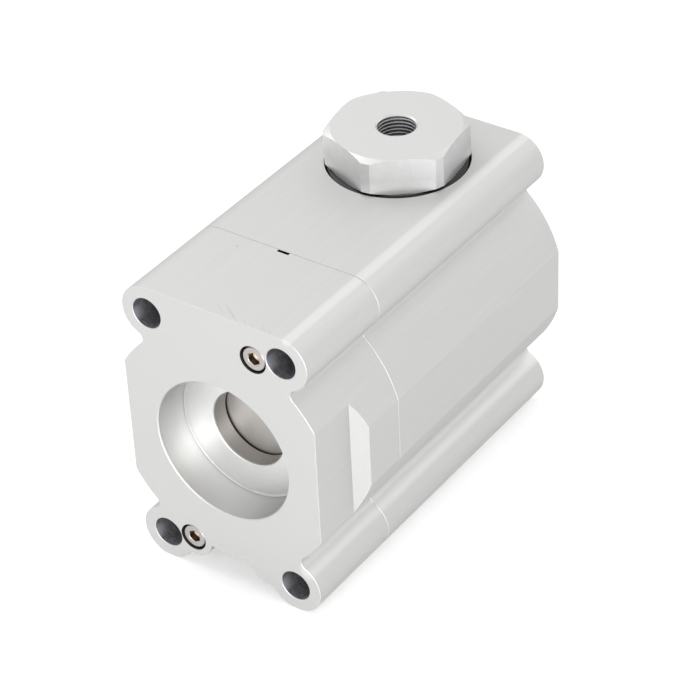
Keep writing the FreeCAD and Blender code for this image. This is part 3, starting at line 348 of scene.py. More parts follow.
# %% Housing: painted shade along the seam
SEAM_SHADE = 0.12        # from the seam to the middle of the painted shade
SEAM_SHADE_HALF = 0.09
UPWARD = 0.6            # the upright part of a normal that counts as facing up
seam_edge = add(tree, "ShaderNodeMath", {
    0: parts.outputs["Y"], 1: SEAM_Y + SEAM_SHADE, 2: SEAM_SHADE_HALF}, operation="COMPARE")
facing = add(tree, "ShaderNodeSeparateXYZ", {0: normal})
upward = add(tree, "ShaderNodeMath", {0: facing.outputs["Z"], 1: UPWARD},
             operation="GREATER_THAN")
top_seam_shade = add(tree, "ShaderNodeMath", {0: seam_edge.outputs[0], 1: upward.outputs[0]},
               operation="MULTIPLY")
with_seam_shade = add(tree, "ShaderNodeMix", {
    "Factor": top_seam_shade.outputs[0], 6: with_lip_highlight.outputs[2], 7: linear("#b8b8b7")},
    data_type="RGBA")
print(f"seam line {2 * SEAM_SHADE_HALF:.2f} mm wide")

# %% [markdown]
# The top face has a few faint scuffs near its front edge and one darker mark by the seam. Each
# is a long thin ellipse: the table gives its middle, half its length and width, its angle and
# how dark it is. The mapping turns the ellipse into a unit circle, whose edge is soft.

# %% Housing: scuffs on the top face
SCUFFS = [      # middle x and y, half length, half width, degrees, darkness
    (-14.8, 34.2, 0.7, 0.35, 0, 0.45),
    (0.4, 17.2, 0.7, 0.25, 120, 0.12),
    (5.6, 3.4, 6.7, 0.3, -34, 0.22),
    (1.4, 3.4, 4.1, 0.3, -33, 0.1),
    (12.3, 1.4, 2.4, 0.25, -38, 0.14),
    (15.5, 1.0, 2.2, 0.25, -36, 0.12),
    (19.6, 1.4, 3.0, 0.25, -49, 0.14),
    (22.1, 0.8, 0.5, 0.35, 0, 0.2),
]
SCUFF_CORE = 0.3        # the share of a scuff that is fully dark
scuffed = 0.0
for x, y, half_length, half_width, degrees, dark in SCUFFS:
    unit = add(tree, "ShaderNodeMapping", {
        "Vector": mm, "Location": (x, y, TOP_Z), "Rotation": (0, 0, math.radians(degrees)),
        "Scale": (half_length, half_width, 1.0)}, vector_type="TEXTURE")
    far = add(tree, "ShaderNodeVectorMath", {0: unit.outputs[0]}, operation="LENGTH")
    scuff = add(tree, "ShaderNodeMapRange", {
        "Value": far.outputs["Value"], "From Min": 1.0, "From Max": SCUFF_CORE,
        "To Max": dark})
    scuffed = add(tree, "ShaderNodeMath", {0: scuffed, 1: scuff.outputs[0]},
                  operation="MAXIMUM").outputs[0]
with_scuffs = add(tree, "ShaderNodeMix", {
    "Factor": scuffed, 6: with_seam_shade.outputs[2], 7: linear("#7c7c7a")}, data_type="RGBA")
print(f"{len(SCUFFS)} scuffs")

# %% [markdown]
# The weep slot is a narrow pocket on the seam, so deep that light hardly gets in, and it is
# painted near black as shade. A point is in it where all three of its coordinates are, so three
# bands are multiplied.

# %% Housing: weep slot, painted shade
SLOT = [        # coordinate, middle of the slot, half its size
    ("X", 0.0, 2.27),
    ("Y", SEAM_Y - 0.62, 0.66),
    ("Z", TOP_Z - 5.55, 5.5),
]
in_slot_shade = 1.0
for coordinate, middle, half_size in SLOT:
    inside = add(tree, "ShaderNodeMath", {
        0: parts.outputs[coordinate], 1: middle, 2: half_size}, operation="COMPARE")
    in_slot_shade = add(tree, "ShaderNodeMath", {0: in_slot_shade, 1: inside.outputs[0]},
                  operation="MULTIPLY").outputs[0]
with_slot_shade = add(tree, "ShaderNodeMix", {
    "Factor": in_slot_shade, 6: with_scuffs.outputs[2], 7: linear("#1c1c1c")}, data_type="RGBA")
print(f"weep slot {2 * SLOT[0][2]:.1f} mm wide")

# %% [markdown]
# The bolt holes run right through, and their drilled walls are painted almost black as shade,
# with a few lighter arcs. The first millimetres of the walls that face right get a painted
# highlight. The counterbores round the screw heads are painted dark as shade too, and they are
# in the front half only.

# %% Housing: bolt holes, painted shade and painted highlight
ARC_LENGTH = 2.0        # of the lighter arcs, round the hole
ARC_WIDTH = 0.9         # along the hole
LIT_DEPTH = 6.0      # how deep the painted highlight goes
LIT_FULLY = 1.0
PAST_HOLE = 0.06        # takes the rim of the hole in
# Painted shade: the walls of the bolt holes are painted dark, with lighter arcs.
arc_place = add(tree, "ShaderNodeMapping", {
    "Vector": mm, "Scale": (1 / ARC_LENGTH, 1 / ARC_WIDTH, 1 / ARC_LENGTH)})
hole_arcs = add(tree, "ShaderNodeTexNoise", {
    "Vector": arc_place.outputs[0], "Scale": 1.0, "Detail": 2.0, "Roughness": 0.7})
arc_contrast = add(tree, "ShaderNodeMapRange", {
    "Value": hole_arcs.outputs["Fac"], "From Min": 0.42, "From Max": 0.68})
hole_shade = add(tree, "ShaderNodeMix", {
    "Factor": arc_contrast.outputs[0], 6: linear("#8e8e92"), 7: linear("#b0b0b4")},
    data_type="RGBA")
# Painted highlight: walls that face right near the mouth are painted lighter.
to_right = add(tree, "ShaderNodeVectorMath", {0: normal, 1: (0.93, 0, 0.36)},
               operation="DOT_PRODUCT")
lit_side = add(tree, "ShaderNodeMapRange", {
    "Value": to_right.outputs["Value"], "From Min": 0.86, "From Max": 1.0})
lit_depth = add(tree, "ShaderNodeMapRange", {
    "Value": parts.outputs["Y"], "From Min": LIT_DEPTH, "From Max": LIT_FULLY})
painted_highlight = add(tree, "ShaderNodeMath", {0: lit_side.outputs[0], 1: lit_depth.outputs[0]},
             operation="MULTIPLY")
hole_shade = add(tree, "ShaderNodeMix", {
    "Factor": painted_highlight.outputs[0], 6: hole_shade.outputs[2], 7: linear("#e6e6f0")},
    data_type="RGBA")
in_bolt_hole = add(tree, "ShaderNodeMath", {
    0: from_bolt.outputs["Value"], 1: BOLT_HOLE_R + PAST_HOLE}, operation="LESS_THAN")
with_hole_shade = add(tree, "ShaderNodeMix", {
    "Factor": in_bolt_hole.outputs[0], 6: with_slot_shade.outputs[2], 7: hole_shade.outputs[2]},
    data_type="RGBA")

# %% Housing: counterbores, painted shade
COUNTERBORE_R = 5.03
# Painted shade: the counterbores are painted dark.
round_screw = add(tree, "ShaderNodeMath", {
    0: from_screw.outputs[0], 1: COUNTERBORE_R}, operation="LESS_THAN")
front_half = add(tree, "ShaderNodeMath", {0: parts.outputs["Y"], 1: SEAM_Y},
                 operation="LESS_THAN")
counterbore_shade = add(tree, "ShaderNodeMath", {
    0: round_screw.outputs[0], 1: front_half.outputs[0]}, operation="MULTIPLY")
housing_colour = add(tree, "ShaderNodeMix", {
    "Factor": counterbore_shade.outputs[0], 6: with_hole_shade.outputs[2], 7: linear("#585654")},
    data_type="RGBA")
tree.links.new(housing_colour.outputs[2], shader.inputs["Base Color"])
print("housing finish:", len(tree.nodes), "nodes")

# %% [markdown]
# ## Cap: milled and turned aluminium
# The hexagon's flats are milled, so they mirror more than the blasted housing does and look
# mottled with faint upright streaks. The top face is turned, with rings round the upright
# axis. Both come from noise: one stretched upright, one on the distance from the axis.

# %% Cap: turned top
cap_finish, tree, shader, mm = start_finish("milled and turned aluminium", 1.0, 0.47)
CAP_RING_WIDTH = 0.5
parts = add(tree, "ShaderNodeSeparateXYZ", {0: mm})
centred = add(tree, "ShaderNodeMapping", {"Vector": mm, "Location": (0, -CAP_Y, 0)})
level = add(tree, "ShaderNodeVectorMath", {0: centred.outputs[0], 1: (1, 1, 0)},
            operation="MULTIPLY")
from_cap_axis = add(tree, "ShaderNodeVectorMath", {0: level.outputs[0]}, operation="LENGTH")
ring_place = add(tree, "ShaderNodeCombineXYZ", {"X": from_cap_axis.outputs["Value"]})
rings = add(tree, "ShaderNodeTexNoise", {
    "Vector": ring_place.outputs[0], "Scale": 1 / CAP_RING_WIDTH, "Detail": 2.0,
    "Roughness": 0.7})
turned = add(tree, "ShaderNodeMix", {
    "Factor": rings.outputs["Fac"], 6: linear("#cacac9"), 7: linear("#d4d4d3")},
    data_type="RGBA")
print(f"cap's axis at {CAP_Y:.1f} mm, rings {CAP_RING_WIDTH} mm wide")

# %% Cap: milled flats
MILL_WIDTH = 1.2
MILL_HEIGHT = 14
MOTTLE_SIZE = 2.2
MOTTLE_DEPTH = 0.05
mill_place = add(tree, "ShaderNodeMapping", {
    "Vector": mm, "Scale": (1 / MILL_WIDTH, 1 / MILL_WIDTH, 1 / MILL_HEIGHT)})
mill_streaks = add(tree, "ShaderNodeTexNoise", {
    "Vector": mill_place.outputs[0], "Scale": 1.0, "Detail": 3.0, "Roughness": 0.6})
mottle = add(tree, "ShaderNodeTexNoise", {
    "Vector": mm, "Scale": 1 / MOTTLE_SIZE, "Detail": 3.0})
both = add(tree, "ShaderNodeMath", {
    0: mill_streaks.outputs["Fac"], 1: mottle.outputs["Fac"]}, operation="ADD")
uneven = add(tree, "ShaderNodeMapRange", {
    "Value": both.outputs[0], "From Min": 0.75, "From Max": 1.25})
milled = add(tree, "ShaderNodeMix", {
    "Factor": uneven.outputs[0], 6: linear("#c6c6c6"), 7: linear("#cccccc")},
    data_type="RGBA")
cap_bump = add(tree, "ShaderNodeBump", {
    "Height": mottle.outputs["Fac"], "Strength": 0.08, "Distance": MOTTLE_DEPTH * MM})
tree.links.new(cap_bump.outputs[0], shader.inputs["Normal"])
print(f"milling streaks {MILL_WIDTH} mm wide and {MILL_HEIGHT} mm high")

# %% [markdown]
# The foot of the flats gets a painted highlight, lighter towards the bottom. The chamfer above
# the flats is a shade darker than the top, and its normal finds it: no other side of the
# hexagon leans up. In the threaded hole the crests get a painted highlight and the roots
# painted shade.

# %% Cap: painted highlight on the foot, chamfer and top
FOOT_HIGHLIGHT_HEIGHT = 5.0
LEANING = 0.3           # the upright part of a normal that counts as leaning up
UNDER_TOP = 0.02        # what lies this close to the top face belongs to it
# Painted highlight: the flats are painted lighter towards their foot.
foot_highlight = add(tree, "ShaderNodeMapRange", {
    "Value": parts.outputs["Z"], "From Min": TOP_Z + FOOT_HIGHLIGHT_HEIGHT, "From Max": TOP_Z})
milled = add(tree, "ShaderNodeMix", {
    "Factor": foot_highlight.outputs[0], 6: milled.outputs[2], 7: linear("#e2e2e2")},
    data_type="RGBA")
on_top = add(tree, "ShaderNodeMath", {
    0: parts.outputs["Z"], 1: CAP_TOP_Z - UNDER_TOP}, operation="GREATER_THAN")
normal = add(tree, "ShaderNodeTexCoord").outputs["Normal"]
facing = add(tree, "ShaderNodeSeparateXYZ", {0: normal})
sloped = add(tree, "ShaderNodeMath", {0: facing.outputs["Z"], 1: LEANING},
             operation="GREATER_THAN")
with_chamfer = add(tree, "ShaderNodeMix", {
    "Factor": sloped.outputs[0], 6: milled.outputs[2], 7: linear("#cacac9")}, data_type="RGBA")
cap_colour = add(tree, "ShaderNodeMix", {
    "Factor": on_top.outputs[0], 6: with_chamfer.outputs[2], 7: turned.outputs[2]},
    data_type="RGBA")
print(f"flats rubbed up to {TOP_Z + FOOT_HIGHLIGHT_HEIGHT:.2f} mm")

# %% Cap: threaded hole, painted highlight and painted shade
PAST_ROOT = 0.02        # takes the wall of the hole in
ROOT_SHADE_TO = 0.3           # how far in from the wall the painted shade reaches
CREST_HIGHLIGHT_FROM = 0.75      # how far in the painted highlight on the crests is full
in_hole = add(tree, "ShaderNodeMath", {
    0: from_cap_axis.outputs["Value"], 1: EXHAUST_R + PAST_ROOT}, operation="LESS_THAN")
# Painted shade at the thread's roots and painted highlight on its crests.
crest = add(tree, "ShaderNodeMapRange", {
    "Value": from_cap_axis.outputs["Value"], "From Min": EXHAUST_R - ROOT_SHADE_TO,
    "From Max": EXHAUST_R - CREST_HIGHLIGHT_FROM})
thread_light_and_shade = add(tree, "ShaderNodeMix", {
    "Factor": crest.outputs[0], 6: linear("#a0a0a2"), 7: linear("#f0f0f0")}, data_type="RGBA")
with_hole = add(tree, "ShaderNodeMix", {
    "Factor": in_hole.outputs[0], 6: cap_colour.outputs[2], 7: thread_light_and_shade.outputs[2]},
    data_type="RGBA")
tree.links.new(with_hole.outputs[2], shader.inputs["Base Color"])
print("cap finish:", len(tree.nodes), "nodes")

# %% [markdown]
# ## Turned metals
# The brass, the plain aluminium and the pins are turned or ground, which leaves rings. Spring
# wire is drawn, and its marks run along the wire, which on a coil is a ring too. What differs
# is the colour, how rough the surface is and how wide its rings are. One function builds the
# ring pattern about the port's axis and takes those three.

# %% Turned metal finishes
RING_DEPTH = 0.02


def turned_finish(name, dark, light, roughness, ring_width):
    """Metal with rings about the port's axis, between two colours. Returns the material and
    what a finish that adds to it needs: its tree, shader, radius and depth, and colour."""
    material, tree, shader, mm = start_finish(name, 1.0, roughness)
    parts = add(tree, "ShaderNodeSeparateXYZ", {0: mm})
    flat = add(tree, "ShaderNodeVectorMath", {0: mm, 1: (1, 0, 1)}, operation="MULTIPLY")
    radius = add(tree, "ShaderNodeVectorMath", {0: flat.outputs[0]}, operation="LENGTH")
    place = add(tree, "ShaderNodeCombineXYZ", {
        "X": radius.outputs["Value"], "Y": parts.outputs["Y"]})
    rings = add(tree, "ShaderNodeTexNoise", {
        "Vector": place.outputs[0], "Scale": 1 / ring_width, "Detail": 3.0, "Roughness": 0.7})
    colour = add(tree, "ShaderNodeMix", {
        "Factor": rings.outputs["Fac"], 6: linear(dark), 7: linear(light)}, data_type="RGBA")
    bump = add(tree, "ShaderNodeBump", {
        "Height": rings.outputs["Fac"], "Strength": 0.1, "Distance": RING_DEPTH * MM})
    tree.links.new(colour.outputs[2], shader.inputs["Base Color"])
    tree.links.new(bump.outputs[0], shader.inputs["Normal"])
    return material, tree, shader, place, colour


guide_metal = turned_finish("turned aluminium", "#b8b8b6", "#cacac8", 0.38, 0.6)[0]
pin_metal = turned_finish("ground steel", "#a8a8aa", "#b8b8ba", 0.22, 0.2)[0]
spring_wire = turned_finish("drawn spring wire", "#8a8a8e", "#a0a0a4", 0.3, 0.3)[0]
brass = turned_finish("turned brass", "#cfa54e", "#dfba66", 0.25, 0.4)[0]
for metal in (guide_metal, pin_metal, spring_wire, brass):
    print("turned finish:", metal.name)

# %% [markdown]
# The piston and its seat are stainless steel. A dark line of painted shade lies on the metal on
# both sides of where the rubber seal meets the seat, for the gap there, and outlines the disc.

# %% Stainless steel with painted shade at the seal
SEAT_Y = size_of("poppet_seal")[0][1]
GAP_SHADE_REACH = 0.42       # from the lip where the seal closes to the edge of the painted shade
GAP_SHADE_CORE = 0.3
stainless, tree, shader, place, colour = turned_finish(
    "fine turned stainless steel", "#b0adaa", "#c0bdba", 0.48, 0.5)
from_seal = add(tree, "ShaderNodeVectorMath", {
    0: place.outputs[0], 1: (THROAT_R, SEAT_Y, 0)}, operation="DISTANCE")
seal_gap_shade = add(tree, "ShaderNodeMapRange", {
    "Value": from_seal.outputs["Value"], "From Min": GAP_SHADE_REACH, "From Max": GAP_SHADE_CORE})
with_gap_shade = add(tree, "ShaderNodeMix", {
    "Factor": seal_gap_shade.outputs[0], 6: colour.outputs[2], 7: linear("#201e1c")},
    data_type="RGBA")
tree.links.new(with_gap_shade.outputs[2], shader.inputs["Base Color"])
print(f"seal's line at radius {THROAT_R} mm and depth {SEAT_Y:.2f} mm")

# %% [markdown]
# ## Screw steel
# The two socket screws are stainless. Their heads look a little warm against the grey housing.
# The walls of the hexagon sockets are painted brown-black as shade, and their floors are
# painted light and warm as a highlight. The radius and the depth tell the head, the walls and
# the floor apart.

# %% Screw finish
screw_finish, tree, shader, mm = start_finish("cold formed stainless steel", 1.0, 0.4)
MARK_SIZE = 0.6
parts = add(tree, "ShaderNodeSeparateXYZ", {0: mm})
marks = add(tree, "ShaderNodeTexNoise", {"Vector": mm, "Scale": 1 / MARK_SIZE, "Detail": 3.0})
head = add(tree, "ShaderNodeMix", {
    "Factor": marks.outputs["Fac"], 6: linear("#aaa6a2"), 7: linear("#bab6b2")},
    data_type="RGBA")
print(f"marks {MARK_SIZE} mm wide on the screw heads")

# %% Screw sockets: painted shade and painted highlight
HEAD_Y = screw_low[1]
SOCKET_CORNER_R = 2.4
SOCKET_EDGE_Y = HEAD_Y + 0.16       # below the bright edge of the socket
SOCKET_FLOOR_Y = HEAD_Y + 2.46      # just above its floor
flat = add(tree, "ShaderNodeVectorMath", {0: mm, 1: (1, 0, 1)}, operation="MULTIPLY")
from_centre = from_nearer_screw(tree, flat)
in_socket = add(tree, "ShaderNodeMath", {
    0: from_centre.outputs[0], 1: SOCKET_CORNER_R}, operation="LESS_THAN")
past_edge = add(tree, "ShaderNodeMath", {0: parts.outputs["Y"], 1: SOCKET_EDGE_Y},
                operation="GREATER_THAN")
# Painted shade on the socket walls.
wall = add(tree, "ShaderNodeMath", {0: in_socket.outputs[0], 1: past_edge.outputs[0]},
           operation="MULTIPLY")
with_socket_shade = add(tree, "ShaderNodeMix", {
    "Factor": wall.outputs[0], 6: head.outputs[2], 7: linear("#5c5048")}, data_type="RGBA")
# Painted highlight on the socket floors.
past_walls = add(tree, "ShaderNodeMath", {0: parts.outputs["Y"], 1: SOCKET_FLOOR_Y},
                 operation="GREATER_THAN")
socket_floor_highlight = add(tree, "ShaderNodeMath", {0: in_socket.outputs[0], 1: past_walls.outputs[0]},
                   operation="MULTIPLY")
screw_colour = add(tree, "ShaderNodeMix", {
    "Factor": socket_floor_highlight.outputs[0], 6: with_socket_shade.outputs[2], 7: linear("#c8b8a4")},
    data_type="RGBA")
tree.links.new(screw_colour.outputs[2], shader.inputs["Base Color"])
print(f"sockets from {SOCKET_EDGE_Y:.2f} to {SOCKET_FLOOR_Y:.2f} mm deep")

# %% [markdown]
# ## Rubber and plastic
# The O-rings are moulded nitrile rubber: black, slightly glossy, with a faint bloom. The wear
# rings are filled PTFE, a pale waxy plastic with a fine speckle from its filler.

# %% Rubber and plastic finishes
BLOOM_SIZE = 1.5
FILLER_SIZE = 0.4
rubber, tree, shader, mm = start_finish("moulded nitrile rubber", 0.0, 0.28)
shader.inputs["Specular IOR Level"].default_value = 0.3
bloom = add(tree, "ShaderNodeTexNoise", {
    "Vector": mm, "Scale": 1 / BLOOM_SIZE, "Detail": 4.0})
rubber_colour = add(tree, "ShaderNodeMix", {
    "Factor": bloom.outputs["Fac"], 6: linear("#0a0a0a"), 7: linear("#141414")},
    data_type="RGBA")
tree.links.new(rubber_colour.outputs[2], shader.inputs["Base Color"])

wear_plastic, tree, shader, mm = start_finish("filled PTFE", 0.0, 0.5)
fill = add(tree, "ShaderNodeTexNoise", {
    "Vector": mm, "Scale": 1 / FILLER_SIZE, "Detail": 3.0})
plastic_colour = add(tree, "ShaderNodeMix", {
    "Factor": fill.outputs["Fac"], 6: linear("#d8d2c4"), 7: linear("#e6e2d6")},
    data_type="RGBA")
tree.links.new(plastic_colour.outputs[2], shader.inputs["Base Color"])
print("soft finishes:", rubber.name, "and", wear_plastic.name)

# %% [markdown]
# ## Giving each CAD node its finish
# The record names a material slot for every node, so the finishes are handed out by slot.

# %% Finishes by slot
finish_of_slot = {
    "housing_aluminium": housing_finish,
    "cap_aluminium": cap_finish,
    "guide_aluminium": guide_metal,
    "stainless_steel": stainless,
    "screw_steel": screw_finish,
    "pin_steel": pin_metal,
    "spring_steel": spring_wire,
    "turned_brass": brass,
    "guide_plastic": wear_plastic,
    "seal_rubber": rubber,
}
for subpart in record["subparts"]:
    mesh = nodes[subpart["node"]].data
    mesh.materials.clear()
    mesh.materials.append(finish_of_slot[subpart["material_slot"]])
print(f"{len(record['subparts'])} nodes have their finish")

# %% [markdown]
# ## From a node tree to a plain mesh
# The springs and the thread follow a helix, which is a rule, so Geometry Nodes make them. The
# tree reads its sizes from named inputs. Its result is then turned into an ordinary mesh, so
# that the piece no longer depends on the modifier.

# %% Running a tree
def new_tree(name, sizes):
    """A Geometry Nodes tree with one number input for each named size."""
    tree = bpy.data.node_groups.new(name, "GeometryNodeTree")
    tree.interface.new_socket("Geometry", in_out="OUTPUT", socket_type="NodeSocketGeometry")
    for size in sizes:
        tree.interface.new_socket(size, in_out="INPUT", socket_type="NodeSocketFloat")
    return tree, add(tree, "NodeGroupInput").outputs


def plain_mesh(name, tree, sizes):
    """Runs a tree on an empty object and returns the result as an object with a plain mesh."""
    seed = bpy.data.objects.new(name + "_seed", bpy.data.meshes.new(name + "_seed"))
    bpy.context.scene.collection.objects.link(seed)
    modifier = seed.modifiers.new(name, "NODES")
    modifier.node_group = tree
    for item in tree.interface.items_tree:
        if item.in_out == "INPUT":
            modifier[item.identifier] = sizes[item.name]
    evaluated = seed.evaluated_get(bpy.context.evaluated_depsgraph_get())
    mesh = bpy.data.meshes.new_from_object(evaluated)
    mesh.name = name
    piece = bpy.data.objects.new(name, mesh)
    bpy.context.scene.collection.objects.link(piece)
    bpy.data.objects.remove(seed)
    print(f"{name}: {len(mesh.polygons)} faces")
    return piece


# %% [markdown]
# ## Springs
# A compression spring is round wire on a helix. Its first and last turn are closed, with no
# gap to the next one, and ground flat so that the spring stands straight. A ready-made spiral
# can't change its pitch, so the tree lays points on a line and moves each one to its place:
# the angle grows evenly, and the height grows slowly in the closed turns and fast between them.

# %% Spring tree: how many turns are closed at each point
WIRE_POINTS = 400
WIRE_SIDES = 16
spring_tree, size = new_tree("compression spring", [
    "Coil Radius", "Wire Radius", "Length", "Turns", "Start", "Upright"])
line = add(spring_tree, "GeometryNodeCurvePrimitiveLine", {"End": (0, 0, 1)})
dense = add(spring_tree, "GeometryNodeResampleCurve", {
    "Curve": line.outputs[0], "Count": WIRE_POINTS})
along = add(spring_tree, "GeometryNodeSplineParameter").outputs["Factor"]
turn = add(spring_tree, "ShaderNodeMath", {0: along, 1: size["Turns"]}, operation="MULTIPLY")
first = add(spring_tree, "ShaderNodeMath", {0: turn.outputs[0], 1: 1.0}, operation="MINIMUM")
last_start = add(spring_tree, "ShaderNodeMath", {0: size["Turns"], 1: 1.0},
                 operation="SUBTRACT")
past_last = add(spring_tree, "ShaderNodeMath", {
    0: turn.outputs[0], 1: last_start.outputs[0]}, operation="SUBTRACT")
last = add(spring_tree, "ShaderNodeMath", {0: past_last.outputs[0], 1: 0.0},
           operation="MAXIMUM")
closed = add(spring_tree, "ShaderNodeMath", {0: first.outputs[0], 1: last.outputs[0]},
             operation="ADD")
opened = add(spring_tree, "ShaderNodeMath", {0: turn.outputs[0], 1: closed.outputs[0]},
             operation="SUBTRACT")
print("spring tree, turns:", len(spring_tree.nodes), "nodes")

# %% Spring tree: height of each point
wire_width = add(spring_tree, "ShaderNodeMath", {0: size["Wire Radius"], 1: 2.0},
                 operation="MULTIPLY")
closed_height = add(spring_tree, "ShaderNodeMath", {
    0: closed.outputs[0], 1: wire_width.outputs[0]}, operation="MULTIPLY")
free_length = add(spring_tree, "ShaderNodeMath", {
    0: wire_width.outputs[0], 1: -2.0, 2: size["Length"]}, operation="MULTIPLY_ADD")
free_turns = add(spring_tree, "ShaderNodeMath", {0: size["Turns"], 1: 2.0},
                 operation="SUBTRACT")
pitch = add(spring_tree, "ShaderNodeMath", {
    0: free_length.outputs[0], 1: free_turns.outputs[0]}, operation="DIVIDE")
height = add(spring_tree, "ShaderNodeMath", {
    0: opened.outputs[0], 1: pitch.outputs[0], 2: closed_height.outputs[0]},
    operation="MULTIPLY_ADD")
print("spring tree, with heights:", len(spring_tree.nodes), "nodes")

# %% Spring tree: wire along the helix
angle = add(spring_tree, "ShaderNodeMath", {0: turn.outputs[0], 1: 2 * math.pi},
            operation="MULTIPLY")
cosine = add(spring_tree, "ShaderNodeMath", {0: angle.outputs[0]}, operation="COSINE")
sine = add(spring_tree, "ShaderNodeMath", {0: angle.outputs[0]}, operation="SINE")
x = add(spring_tree, "ShaderNodeMath", {0: cosine.outputs[0], 1: size["Coil Radius"]},
        operation="MULTIPLY")
y = add(spring_tree, "ShaderNodeMath", {0: sine.outputs[0], 1: size["Coil Radius"]},
        operation="MULTIPLY")
point = add(spring_tree, "ShaderNodeCombineXYZ", {
    "X": x.outputs[0], "Y": y.outputs[0], "Z": height.outputs[0]})
helix = add(spring_tree, "GeometryNodeSetPosition", {
    "Geometry": dense.outputs[0], "Position": point.outputs[0]})
section = add(spring_tree, "GeometryNodeCurvePrimitiveCircle", {
    "Resolution": WIRE_SIDES, "Radius": size["Wire Radius"]})
wire = add(spring_tree, "GeometryNodeCurveToMesh", {
    "Curve": helix.outputs[0], "Profile Curve": section.outputs[0], "Fill Caps": True})
print(f"spring wire: {WIRE_POINTS} points, {WIRE_SIDES} sides")

# %% [markdown]
# Grinding takes everything off that is past the two ends. Pushing those points back onto the
# end planes does the same. The last step puts the spring in its place in the valve, so that
# the finished object itself can stay at the origin. The main spring lies along the valve, and
# the pilot spring stands upright under the cap: a switch picks between the two.

# %% Spring tree: ground ends and place
where = add(spring_tree, "GeometryNodeInputPosition").outputs[0]
split = add(spring_tree, "ShaderNodeSeparateXYZ", {0: where})
ground = add(spring_tree, "ShaderNodeClamp", {
    "Value": split.outputs["Z"], "Min": 0.0, "Max": size["Length"]})
ground_point = add(spring_tree, "ShaderNodeCombineXYZ", {
    "X": split.outputs["X"], "Y": split.outputs["Y"], "Z": ground.outputs[0]})
ground_wire = add(spring_tree, "GeometryNodeSetPosition", {
    "Geometry": wire.outputs[0], "Position": ground_point.outputs[0]})
lying = add(spring_tree, "GeometryNodeTransform", {
    "Geometry": ground_wire.outputs[0], "Rotation": (-math.pi / 2, 0, 0)})
lying_place = add(spring_tree, "ShaderNodeCombineXYZ", {"Y": size["Start"]})
lying_moved = add(spring_tree, "GeometryNodeTransform", {
    "Geometry": lying.outputs[0], "Translation": lying_place.outputs[0]})
upright_place = add(spring_tree, "ShaderNodeCombineXYZ", {"Y": CAP_Y * MM, "Z": size["Start"]})
upright_moved = add(spring_tree, "GeometryNodeTransform", {
    "Geometry": ground_wire.outputs[0], "Translation": upright_place.outputs[0]})
chosen = add(spring_tree, "GeometryNodeSwitch", {
    "Switch": size["Upright"], "False": lying_moved.outputs[0],
    "True": upright_moved.outputs[0]}, input_type="GEOMETRY")
smooth = add(spring_tree, "GeometryNodeSetShadeSmooth", {"Geometry": chosen.outputs[0]})
real = add(spring_tree, "GeometryNodeRealizeInstances", {"Geometry": smooth.outputs[0]})
finished = add(spring_tree, "GeometryNodeSetMaterial", {
    "Geometry": real.outputs[0], "Material": spring_wire})
add(spring_tree, "NodeGroupOutput", {0: finished.outputs[0]})
print("spring tree:", len(spring_tree.nodes), "nodes")

# %% [markdown]
# The CAD springs give each coil's box, so the wire's thickness and the turns are all that is
# chosen here. In use a spring is squeezed between its seats. Both springs are attached to the
# housing.

# %% Sizes of a spring
def spring_sizes(node, axis, wire_radius, turns):
    """Reads a spring's sizes from the box of its CAD node. Radii are in millimetres."""
    low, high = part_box(node)
    return {
        "Coil Radius": (high.x - low.x) / 2 - wire_radius * MM,
        "Wire Radius": wire_radius * MM,
        "Length": high[axis] - low[axis],
        "Turns": turns,
        "Start": low[axis],
        "Upright": float(axis == 2),
    }


# %% The main spring
main_spring = plain_mesh("main_spring_wire", spring_tree,
                         spring_sizes("main_spring", 1, wire_radius=0.9, turns=9.0))
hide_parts("main_spring")
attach(main_spring, "housing")
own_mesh(main_spring)

# %% The pilot spring
pilot_spring = plain_mesh("pilot_spring_wire", spring_tree,
                          spring_sizes("pilot_spring", 2, wire_radius=0.65, turns=5.0))
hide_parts("pilot_spring")
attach(pilot_spring, "housing")
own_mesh(pilot_spring)

# %% [markdown]
# ## Thread in the exhaust hole
# The hole in the cap has a G1/4 pipe thread: 19 threads to the inch, which is 1.337 mm from
# one crest to the next. The CAD hole is as wide as the thread's roots, so the thread is a
# ridge that winds up its wall. A trapezoid swept along a spiral makes it, and the ridge thins
# out at both ends as a cut thread does. One fault is left: the trapezoid points out into the
# cap's metal instead of into the hole, so only its broad side shows, as a flat winding band.

# %% Thread tree: spiral that thins out at its ends
PITCH = 25.4 / 19
THREAD_DEPTH = 0.856
TURN_STEPS = 72
RUN_OUT = 0.46      # from the middle, as a share of the whole, to where the ridge thins out
RUN_OUT_END = 0.05  # what is left of the ridge at its very end
thread_tree, size = new_tree("internal pipe thread", [
    "Root Radius", "Pitch", "Depth", "Turns", "Start"])
rise = add(thread_tree, "ShaderNodeMath", {0: size["Pitch"], 1: size["Turns"]},
           operation="MULTIPLY")
spiral = add(thread_tree, "GeometryNodeCurveSpiral", {
    "Resolution": TURN_STEPS, "Rotations": size["Turns"], "Start Radius": size["Root Radius"],
    "End Radius": size["Root Radius"], "Height": rise.outputs[0]})
level_spiral = add(thread_tree, "GeometryNodeSetCurveNormal", {"Curve": spiral.outputs[0]},
                   mode="Z_UP")
along = add(thread_tree, "GeometryNodeSplineParameter").outputs["Factor"]
past_middle = add(thread_tree, "ShaderNodeMath", {0: along, 1: 0.5}, operation="SUBTRACT")
from_middle = add(thread_tree, "ShaderNodeMath", {0: past_middle.outputs[0]},
                  operation="ABSOLUTE")
ramp = add(thread_tree, "ShaderNodeMapRange", {
    "Value": from_middle.outputs[0], "From Min": 0.5, "From Max": RUN_OUT,
    "To Min": RUN_OUT_END, "To Max": 1.0})
thinned = add(thread_tree, "GeometryNodeSetCurveRadius", {
    "Curve": level_spiral.outputs[0], "Radius": ramp.outputs[0]})
print(f"thread pitch {PITCH:.3f} mm, depth {THREAD_DEPTH} mm")

